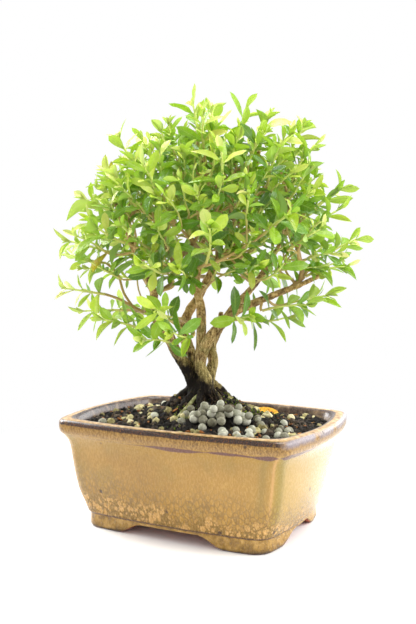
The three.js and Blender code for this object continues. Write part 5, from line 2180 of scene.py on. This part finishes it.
@dataclass
class Wood:
    """The trunk with its roots and stems, the limbs and the fine roots."""

    growth: Growth
    ground: Ground
    voxel: float = 0.00062
    tube_sides: int = 14
    root_steps: int = 12
    root_start: float = 2
    root_sway: float = 0.22
    root_taper: float = 0.72
    root_rise: float = 5.5
    root_sink: float = 1.6
    foot_fade: tuple[float, float] = (92, 12)
    bark_fade: tuple[float, float] = (138, 24)
    strand_count: int = 110
    strand_steps: int = 6
    strand_starts: tuple[float, float] = (5.5, 9)
    strand_lengths: tuple[float, float] = (7, 20)
    strand_radii: tuple[float, float] = (0.2, 0.5)
    roots: tuple = (
        (-84, 33, 1.9), (-128, 21, 3.4), (-168, 25, 3.6), (143, 22, 3.0), (88, 20, 3.2), (34, 24, 3.4),
        (-16, 17, 3.2),
    )
    pale_course: tuple = (
        (0.5, -5, 3.4, 1.1), (-2.6, -8.5, 2.6, 1.15), (-4, -15, 1.7, 1.1), (-5.3, -23, 1.3, 0.9),
        (-4.6, -29, 1.1, 0.75), (-6, -33, 0.2, 0.5),
    )

    def root_path(self, heading: float, length: float, radius: float, steps: int) -> tuple[Point, Point]:
        """Returns a surface root's axis and radii.

        Args:
            heading: Its direction in degrees.
            length: Its length.
            radius: Its radius at the trunk.
            steps: Stretches of the path.

        Returns:
            The axis and the radii.
        """
        trunk_x, trunk_y = self.ground.trunk
        points, radii = [], []
        for step in range(steps + 1):
            share = step / steps
            away = self.root_start + length * share
            sway = math.radians(heading) + self.root_sway * math.sin(3 * share)
            x = trunk_x + away * math.cos(sway)
            y = trunk_y + away * math.sin(sway)
            size = radius * (1 - self.root_taper * share)
            rise = self.root_rise * (1 - share) ** 2 - self.root_sink * size * share**2
            points.append((x, y, self.ground.height(x, y) + rise))
            radii.append(size)
        return np.array(points), np.array(radii)

    def trunk(self) -> bpy.types.Mesh:
        """Fuses the butt, the stems and the roots into one skin with a bark relief.

        Returns:
            The mesh.
        """
        growth, sides = self.growth, self.tube_sides
        paths = [growth.stem_path(growth.BUTT, 2.0), growth.stem_path(growth.STUB, 1.5)]
        paths += [growth.stem_path(waypoints, 2.5) for waypoints in growth.STEMS.values()]
        paths += [self.root_path(*root, self.root_steps) for root in self.roots]
        faces, first = [], 0
        for axis, _ in paths:
            faces += loft_faces(len(axis), sides, first)
            first += len(axis) * sides
        points = np.concatenate([tube_rings(axis, radii, sides) for axis, radii in paths])
        carrier = stand("trunk_carrier", mesh_from("trunk_skin", points, faces))
        fused = carrier.modifiers.new("fuse", "REMESH")
        fused.mode = "VOXEL"
        fused.voxel_size = self.voxel
        eased = carrier.modifiers.new("ease", "SMOOTH")
        eased.factor = 0.5
        eased.iterations = 3
        mesh = plain_mesh(carrier)
        self._roughen(mesh)
        return cover(mesh, BarkFinish().material())

    def _roughen(self, mesh: bpy.types.Mesh) -> None:
        """Moves the trunk's skin out and in by a bark relief, stronger at the foot.

        Args:
            mesh: The skin.
        """
        places, normals = vectors_of(mesh, "co") / MM, vectors_of(mesh, "normal")
        lumps = relief(places, (0.16, 0.16, 0.09), 3, 1.3)
        ridges = relief(places, (0.75, 0.75, 0.2), 3, 9.1)
        foot_top, foot_run = self.foot_fade
        bark_top, bark_run = self.bark_fade
        foot = np.clip((foot_top - places[:, 2]) / foot_run, 0, 1)
        upper = np.clip((bark_top - places[:, 2]) / bark_run, 0.15, 1)
        depth = lumps * (0.45 + 0.5 * foot) + ridges * (0.3 * upper + 0.35 * foot)
        mesh.vertices.foreach_set("co", ((places + normals * depth[:, None]) * MM).ravel())
        mesh.update()

    def fine_roots(self) -> bpy.types.Mesh:
        """Builds the fibrous roots that run down the mound from the trunk.

        Returns:
            The mesh.
        """
        random = Draw(71)
        trunk_x, trunk_y = self.ground.trunk
        paths = []
        for strand in range(self.strand_count):
            heading = strand * GOLDEN_ANGLE + 0.5 * random()
            away = between(*self.strand_starts, random())
            length = between(*self.strand_lengths, random())
            curve = 0.9 * (random() - 0.5)
            radius = between(*self.strand_radii, random())
            points, radii = [], []
            for step in range(self.strand_steps + 1):
                share = step / self.strand_steps
                turned = heading + curve * share + 0.15 * math.sin(5 * share + strand)
                x = trunk_x + (away + length * share) * math.cos(turned)
                y = trunk_y + (away + length * share) * math.sin(turned)
                if step and (self.ground.heap.share(x, y) < 0.92 or not self.ground.is_inside(x, y)):
                    break
                lift = 6 * (1 - share) ** 3 * random() + 0.25 - 1.2 * share**3
                points.append((x, y, self.ground.height(x, y) + lift))
                radii.append(radius * (1 - 0.6 * share))
            if len(points) > 2:
                paths.append((np.array(points), radii, [1.0] * len(points)))
        return follow_paths("fine_root_rule", paths, 5, FINE_ROOT.material(), 2)

    def pale_root(self) -> bpy.types.Mesh:
        """Builds the smooth pale root that runs out to the front.

        Returns:
            The mesh.
        """
        course = smooth_path(np.array(self.pale_course, dtype=float), 14)
        axis = np.array([(x, y, self.ground.height(x, y) + lift) for x, y, lift, _ in course])
        radii = course[:, 3]
        return follow_paths("pale_root_rule", [(axis, radii, [0.0] * len(axis))], 12, PALE_ROOT.material(), 3)

    def build(self, limbs: Sequence[Limb]) -> None:
        """Makes the wood's pieces, its limbs from those that are given with their radii.

        Args:
            limbs: The limbs.
        """
        fit_piece("trunk_and_stems", self.trunk(), ["trunk"])
        paths = [
            (limb.points, limb.radii, np.clip(0.55 + (limb.radii - 0.6) * 0.5, 0.3, 1)) for limb in limbs
        ]
        tubes = follow_paths("limb_rule", paths, 7, ShootFinish().material(), 4)
        fit_piece("limbs", tubes, ["trunk"])
        fit_piece("fine_roots", self.fine_roots())
        fit_piece("pale_root", self.pale_root(), ["trunk"])


# ---------------------------------------------------------------- foliage


def spray_name(number: int) -> str:
    """Returns the name of the solid that a main shoot of a number stands for."""
    return f"spray_{number + 1:02d}"


class Quarter(Enum):
    """The quarters of the crown, by the side of the pot that they stand over."""

    FRONT_LEFT = 0
    FRONT_RIGHT = 1
    REAR_RIGHT = 2
    REAR_LEFT = 3


@dataclass
class Foliage:
    """Every shoot and leaf of the crown."""

    growth: Growth
    split_height: float = 188
    shells: tuple = ((0.95, 16.5, 460, 22), (0.76, 19, 260, 20), (0.54, 22, 120, 18))
    level_span: float = 1.62
    shell_turn: float = 9
    reach_spread: tuple[float, float] = (0.9, 1.04)
    open_heights: tuple[float, float] = (188, 120)
    open_radius: float = 84
    full_drop: float = 16
    thin_below: float = 180
    thin_shares: tuple[float, float] = (0.96, 0.5)
    fuller_above: float = 158
    fuller_share: float = 0.25
    close_above: float = 200
    close_spacing: float = 0.84
    filler_twig: float = 0.55
    dying_share: float = 0.004
    inner_tips: tuple[int, int] = (23, 29)

    def group_of(self, tip: Point) -> int:
        """Returns the number of the part of the crown that a tip belongs to.

        Args:
            tip: The tip.

        Returns:
            The number.
        """
        if tip[1] < 0:
            quarter = Quarter.FRONT_RIGHT if tip[0] > 0 else Quarter.FRONT_LEFT
        else:
            quarter = Quarter.REAR_RIGHT if tip[0] > 0 else Quarter.REAR_LEFT
        return quarter.value + (4 if tip[2] > self.split_height else 0)

    def envelope(self, tips: Sequence[Point], outward: Point) -> float:
        """Returns how far the crown reaches from its heart in a direction.

        Args:
            tips: The tips of the shoots.
            outward: The direction.

        Returns:
            The reach.
        """
        away = np.delete(np.array(tips), slice(*self.inner_tips), axis=0) - self.growth.heart
        reach = np.linalg.norm(away, axis=1)
        nearness = np.exp(16 * ((away / reach[:, None]) @ outward - 1))
        return float((nearness * reach).sum() / nearness.sum())

    @staticmethod
    def is_full(tip: Point) -> bool:
        """Tells whether a tip hangs at the front left, where the crown's lower edge is full."""
        across, forward = tip[0] * 0.89 + tip[1] * 0.46, tip[0] * 0.46 - tip[1] * 0.89
        return bool(-42 < across < -8 and forward > -12)

    def filling(self, tips: list[Point], random: Random) -> list[Shoot]:
        """Returns the shoots that fill the crown between and behind the main ones.

        Args:
            tips: The tips of the main shoots.
            random: The source of their places.

        Returns:
            The shoots.
        """
        growth = self.growth
        taken = list(tips)
        shoots = []
        for scale, spacing, tries, length in self.shells:
            for index in range(tries):
                level = 1 - self.level_span * (index + 0.5) / tries
                ring = math.sqrt(1 - level * level)
                turn = index * GOLDEN_ANGLE + scale * self.shell_turn
                outward = np.array([ring * math.cos(turn), ring * math.sin(turn), level])
                reach = self.envelope(tips, outward) * scale * between(*self.reach_spread, random())
                tip = growth.heart + outward * reach
                full = self.is_full(tip)
                outer = min(1.0, math.hypot(tip[0], tip[1]) / self.open_radius)
                in_opening = tip[2] < between(*self.open_heights, outer) - self.full_drop * full
                fuller = self.fuller_share if tip[2] > self.fuller_above else 0
                left_out = between(*self.thin_shares, full) - fuller
                thinned = tip[2] < self.thin_below and random() < left_out
                room = spacing * (self.close_spacing if tip[2] > self.close_above else 1.0)
                if in_opening or thinned or min(np.linalg.norm(other - tip) for other in taken) < room:
                    continue
                taken.append(tip)
                shoot = growth.shoot_at(tip, random, length)
                shoot.vigour = between(0.6, 1.0, random())
                shoot.bow = between(0.02, 0.1, random())
                shoot.group = self.group_of(tip)
                shoots.append(shoot)
        return shoots

    def small_leaves(self, shoot: Shoot, random: Random) -> list[Leaf]:
        """Returns the young leaves at a shoot's tip and in the axils of its pairs.

        Args:
            shoot: The shoot.
            random: The source of their sizes and turns.

        Returns:
            The leaves.
        """
        growth = self.growth
        leaves = []

        def grow(
            share: float, azimuth: float, least: float, most: float, opening: tuple[float, float], arch: float
        ) -> None:
            """Grows one small leaf, of a random size, opening and arch.

            Args:
                share: The share of the shoot's length.
                azimuth: The turn round it in radians.
                least: The least length.
                most: The greatest length.
                opening: The least and the greatest angle from the shoot.
                arch: The greatest arch.
            """
            size = between(least, most, random()) * shoot.vigour
            opened = between(*opening, random())
            leaves.append(growth.leaf_on(shoot, share, azimuth, opened, size, between(-0.1, arch, random())))

        for count in range(2 + int(2 * random())):
            azimuth = shoot.turn + 0.8 + count * math.pi / 2 + 0.5 * random()
            grow(1.0, azimuth, 4.5, 9.5, (0.16, 0.55), 0.1)
        at_tip = len(leaves)
        bare = 0.9 if shoot.tip[2] < 170 and not self.is_full(shoot.tip) else 0.62
        for pair, half in product(range(growth.pairs - 1), (0, 1)):
            if random() < bare:
                continue
            azimuth = shoot.turn + pair * math.pi / 2 + half * math.pi + 1.1 * (random() - 0.5)
            grow(growth.pair_share(pair) + 0.03, azimuth, 4, 8, (0.35, 0.8), 0.2)
        for number, leaf in enumerate(leaves):
            leaf.age = 1.15 if number < at_tip else 0.75
            leaf.group = shoot.group
        return leaves

    def dress(self, leaves: list[Leaf], tips: Sequence[Point], random: Random) -> None:
        """Gives every leaf its colour and its blade, by how far out it stands, with painted light on the left
        and top of the crown and painted shade inside it.

        Args:
            leaves: The leaves.
            tips: The tips of the shoots.
            random: The source of its variety.
        """
        for leaf in leaves:
            away = leaf.point(0.6) - self.growth.heart
            reach = np.linalg.norm(away)
            out = min(1.1, reach / self.envelope(tips, away / reach))
            x, _, z = leaf.foot
            # Painted light: leaves on the left and near the top are made brighter.
            painted_light = 0.0012 * max(0.0, -x) - 0.0018 * x + 0.0006 * (z - 170)
            # Outer leaves are brighter and inner ones deeper: partly younger growth outside, partly painted
            # shade inside the crown.
            leaf.age = 0.02 + 0.38 * leaf.age + 0.56 * out**3 + painted_light
            leaf.tint = 1.9 * random() - 0.95
            if random() < self.dying_share:
                leaf.tint = 1.0
            leaf.shape = int(random() * len(BLADES))
            roll = (2.8 if random() < 0.35 else 1.4) * (random() - 0.5)
            leaf.face, leaf.across = (
                leaf.face * math.cos(roll) + leaf.across * math.sin(roll),
                leaf.across * math.cos(roll) - leaf.face * math.sin(roll),
            )
            inner_size = between(1.2, 0.98, out)
            leaf.width *= between(0.74, 1.3, random()) * inner_size
            leaf.length *= between(0.8, 1.24, random()) * inner_size
            leaf.arch += between(-0.05, 0.24, random())
            if out > 0.9 and random() < 0.3:
                leaf.width *= 0.62

    @staticmethod
    def leaf_mesh(
        name: str, leaves: Sequence[Leaf], shapes: bpy.types.Collection, material: bpy.types.Material
    ) -> bpy.types.Mesh:
        """Builds the leaves of one part of the crown.

        Args:
            name: The rule's name.
            leaves: The leaves.
            shapes: The blades.
            material: The material.

        Returns:
            The mesh.
        """
        turns, sizes, bends = [], [], []
        for leaf in leaves:
            axes = np.column_stack([np.cross(leaf.along, leaf.face), leaf.along, leaf.face])
            turns.append(Matrix(axes.tolist()).to_euler()[:])
            sizes.append((leaf.width, leaf.length, leaf.width))
            bends.append(leaf.face * (-leaf.arch * leaf.length))
        values = {label: [getattr(leaf, label) for leaf in leaves] for label in ("age", "tint", "shape")}
        places = [leaf.foot for leaf in leaves]
        tables = np.array(sizes), values, shapes, material, True, np.array(bends)
        return place_shapes(name, places, turns, *tables)

    def build(self, wood: Wood) -> None:
        """Grows the crown and makes its pieces.

        Args:
            wood: The wood that the crown grows on.
        """
        growth = self.growth
        random = Draw(growth.seed)
        tips = growth.tips()
        shoots = [growth.shoot_at(tip, random) for tip in tips]
        for number, shoot in enumerate(shoots):
            shoot.bow = 0.03 + 0.04 * (number % 3) / 2
            shoot.group = self.group_of(shoot.tip)
        limbs = growth.stems()
        stems = len(limbs)
        growth.add_limbs(limbs, shoots)
        obstacles = Obstacles()
        obstacles.add(*(ball_path(limb.points, limb.radii) for limb in limbs))
        leaves = self.main_leaves(shoots, obstacles)
        LOG.info("%d main leaves", len(leaves))
        random = Draw(growth.seed + 7)
        fillers = self.filling(tips, random)
        for limb in limbs:
            limb.loads = None
        main_limbs = len(limbs)
        growth.twig_radius = self.filler_twig
        growth.add_limbs(limbs, fillers)
        for shoot in fillers:
            grown = growth.leaves_of(shoot, obstacles.stacked(), random, -0.6, 2.3)
            obstacles.add(*(leaf.balls() for leaf in grown))
            leaves += grown
        for shoot in [*shoots, *fillers]:
            leaves += self.small_leaves(shoot, random)
        LOG.info("%d filling shoots and %d leaves in all", len(fillers), len(leaves))
        self.dress(leaves, tips, random)
        wood.build(limbs[stems:])
        LOG.info("%d limbs, %d of them in the solids", len(limbs) - stems, main_limbs - stems)
        self.fit_shoots(shoots, fillers)
        self.fit_leaves(shoots, leaves)

    def main_leaves(self, shoots: Sequence[Shoot], obstacles: Obstacles) -> list[Leaf]:
        """Grows the leaves of the solids' shoots, and adds them and the shoots to the obstacles.

        Args:
            shoots: The shoots.
            obstacles: What the leaves keep clear of.

        Returns:
            The leaves.
        """
        random = Draw(self.growth.seed + 1)
        shafts = []
        for shoot in shoots:
            ends = np.array([shoot.start, shoot.start + shoot.heading * shoot.length])
            shafts.append(ball_path(ends, [self.growth.shoot_radius] * 2))
        leaves: list[Leaf] = []
        for number, shoot in enumerate(shoots):
            near = Obstacles(list(obstacles.centres), list(obstacles.radii))
            near.add(*shafts[:number], *shafts[number + 1 :])
            grown = self.growth.leaves_of(shoot, near.stacked(), random)
            obstacles.add(*(leaf.balls() for leaf in grown))
            leaves += grown
        obstacles.add(*shafts)
        return leaves

    def fit_leaves(self, shoots: Sequence[Shoot], leaves: Sequence[Leaf]) -> None:
        """Makes a piece of the leaves of each part of the crown.

        Args:
            shoots: The main shoots.
            leaves: All leaves.
        """
        blades = [blade_mesh(f"blade_{index}", form) for index, form in enumerate(BLADES)]
        shapes = keep_shapes("blade_shapes", blades)
        material = LeafFinish().material()
        for group, (level, quarter) in enumerate(product(("lower", "upper"), Quarter)):
            name = f"leaves_{level}_{quarter.name.lower()}"
            nodes = [spray_name(number) for number, shoot in enumerate(shoots) if shoot.group == group]
            chosen = [leaf for leaf in leaves if leaf.group == group]
            fit_piece(name, self.leaf_mesh(f"{name}_rule", chosen, shapes, material), nodes)
        discard(shapes)

    def fit_shoots(self, shoots: Sequence[Shoot], fillers: Sequence[Shoot]) -> None:
        """Makes the piece of all green shoots.

        Args:
            shoots: The main shoots.
            fillers: The filling shoots.
        """
        stops = [0.0]
        for pair in range(self.growth.pairs):
            share = self.growth.pair_share(pair)
            stops += [share - 0.03, share, share + 0.03]
        paths = []
        for number, shoot in enumerate([*shoots, *fillers]):
            thick = 0.95 if number < len(shoots) else 0.72
            points = np.array([shoot.point(stop) for stop in stops])
            swelling = [1.4 if index % 3 == 2 else 1 for index in range(len(stops))]
            radii = [thick * (1 - 0.45 * stop) * swell for stop, swell in zip(stops, swelling)]
            paths.append((points, radii, [0.45 - 0.5 * stop for stop in stops]))
        mesh = follow_paths("shoot_rule", paths, 6, ShootFinish().material(), 1)
        fit_piece("green_shoots", mesh, [spray_name(number) for number in range(len(shoots))])


# ---------------------------------------------------------------- studio


@dataclass(frozen=True)
class Softbox:
    """A rectangular soft light aimed at the bonsai, with its size in metres and its power."""

    name: str
    place: tuple[float, float, float]
    width: float
    height: float
    power: float

    def hang(self) -> None:
        """Puts the light up."""
        lamp = bpy.data.lights.new(self.name, "AREA")
        lamp.shape = "RECTANGLE"
        lamp.size = self.width
        lamp.size_y = self.height
        lamp.energy = self.power
        aim(stand(self.name, lamp), self.place, Vector((0, 0, 0.12)) - Vector(self.place))


def aim(holder: bpy.types.Object, place: Sequence[float], view: Vector) -> None:
    """Sets a light or a camera down at a place, looking along a direction."""
    holder.location = place
    holder.rotation_euler = view.to_track_quat("-Z", "Y").to_euler()


@dataclass
class Studio:
    """The pale floor, the soft lights and the camera."""

    camera_place: tuple[float, float, float] = (0.2233, -0.4313, 0.15497)
    heading: tuple[float, float] = (-0.4569, 0.8896)
    pitch: float = 0.0481136
    focal: float = 44.73
    lights: tuple = (
        Softbox("top", (0.05, 0.10, 1.30), 0.7, 0.7, 20.0),
        Softbox("right", (1.15, 0.30, 0.75), 0.8, 0.8, 15.0),
        Softbox("left", (-1.20, 0.10, 0.70), 0.8, 0.8, 24.0),
        Softbox("rear", (0.75, 1.60, 0.55), 1.8, 1.3, 24.0),
    )

    @staticmethod
    def _lay_floor() -> None:
        """Lays the floor, which gives way to plain white away from the pot."""
        corners = [(-1, -1, 0), (1, -1, 0), (1, 1, 0), (-1, 1, 0)]
        mesh = mesh_from("floor", corners, [(0, 1, 2, 3)], scale=4.0)
        recipe = Recipe("floor_finish", roughness=0.9, gloss=0.1)
        recipe.base(recipe.ramp(recipe.cloud(3, 2), [(0.3, (250, 249, 247)), (0.7, (254, 253, 252))]))
        away = recipe.wire("ShaderNodeVectorMath", {"operation": "LENGTH"}, {0: recipe.place}, "Value")
        white = {"Color": (1.0, 1.0, 1.0, 1.0), "Strength": 1.0}
        recipe.blend(away.step(0.14, 0.34), "ShaderNodeEmission", white)
        mesh.materials.append(recipe.material)
        floor = stand("floor", mesh)

    def build(self) -> None:
        """Makes the floor, the world, the lights and the camera."""
        self._lay_floor()
        world = bpy.data.worlds.new("studio")
        world.use_nodes = True
        backdrop = world.node_tree.nodes["Background"]
        backdrop.inputs["Color"].default_value = (1.0, 1.0, 1.0, 1.0)
        backdrop.inputs["Strength"].default_value = 1.0
        bpy.context.scene.world = world
        bpy.context.scene.view_settings.view_transform = "Standard"
        for softbox in self.lights:
            softbox.hang()
        camera = bpy.data.cameras.new("camera")
        camera.lens = self.focal
        camera.sensor_width = 36
        camera.clip_start = 0.01
        flat = math.cos(self.pitch)
        view = Vector((self.heading[0] * flat, self.heading[1] * flat, -math.sin(self.pitch)))
        holder = stand("camera", camera)
        aim(holder, self.camera_place, view)
        bpy.context.scene.camera = holder


# ---------------------------------------------------------------- main


def main() -> None:
    """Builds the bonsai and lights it."""
    logging.basicConfig(level=logging.INFO, format="%(message)s")
    Studio().build()
    pot = Pot()
    pot.build()
    ground = Ground(pot)
    ground.build()
    growth = Growth()
    Foliage(growth).build(Wood(growth, ground))


if __name__ == "__main__":
    main()
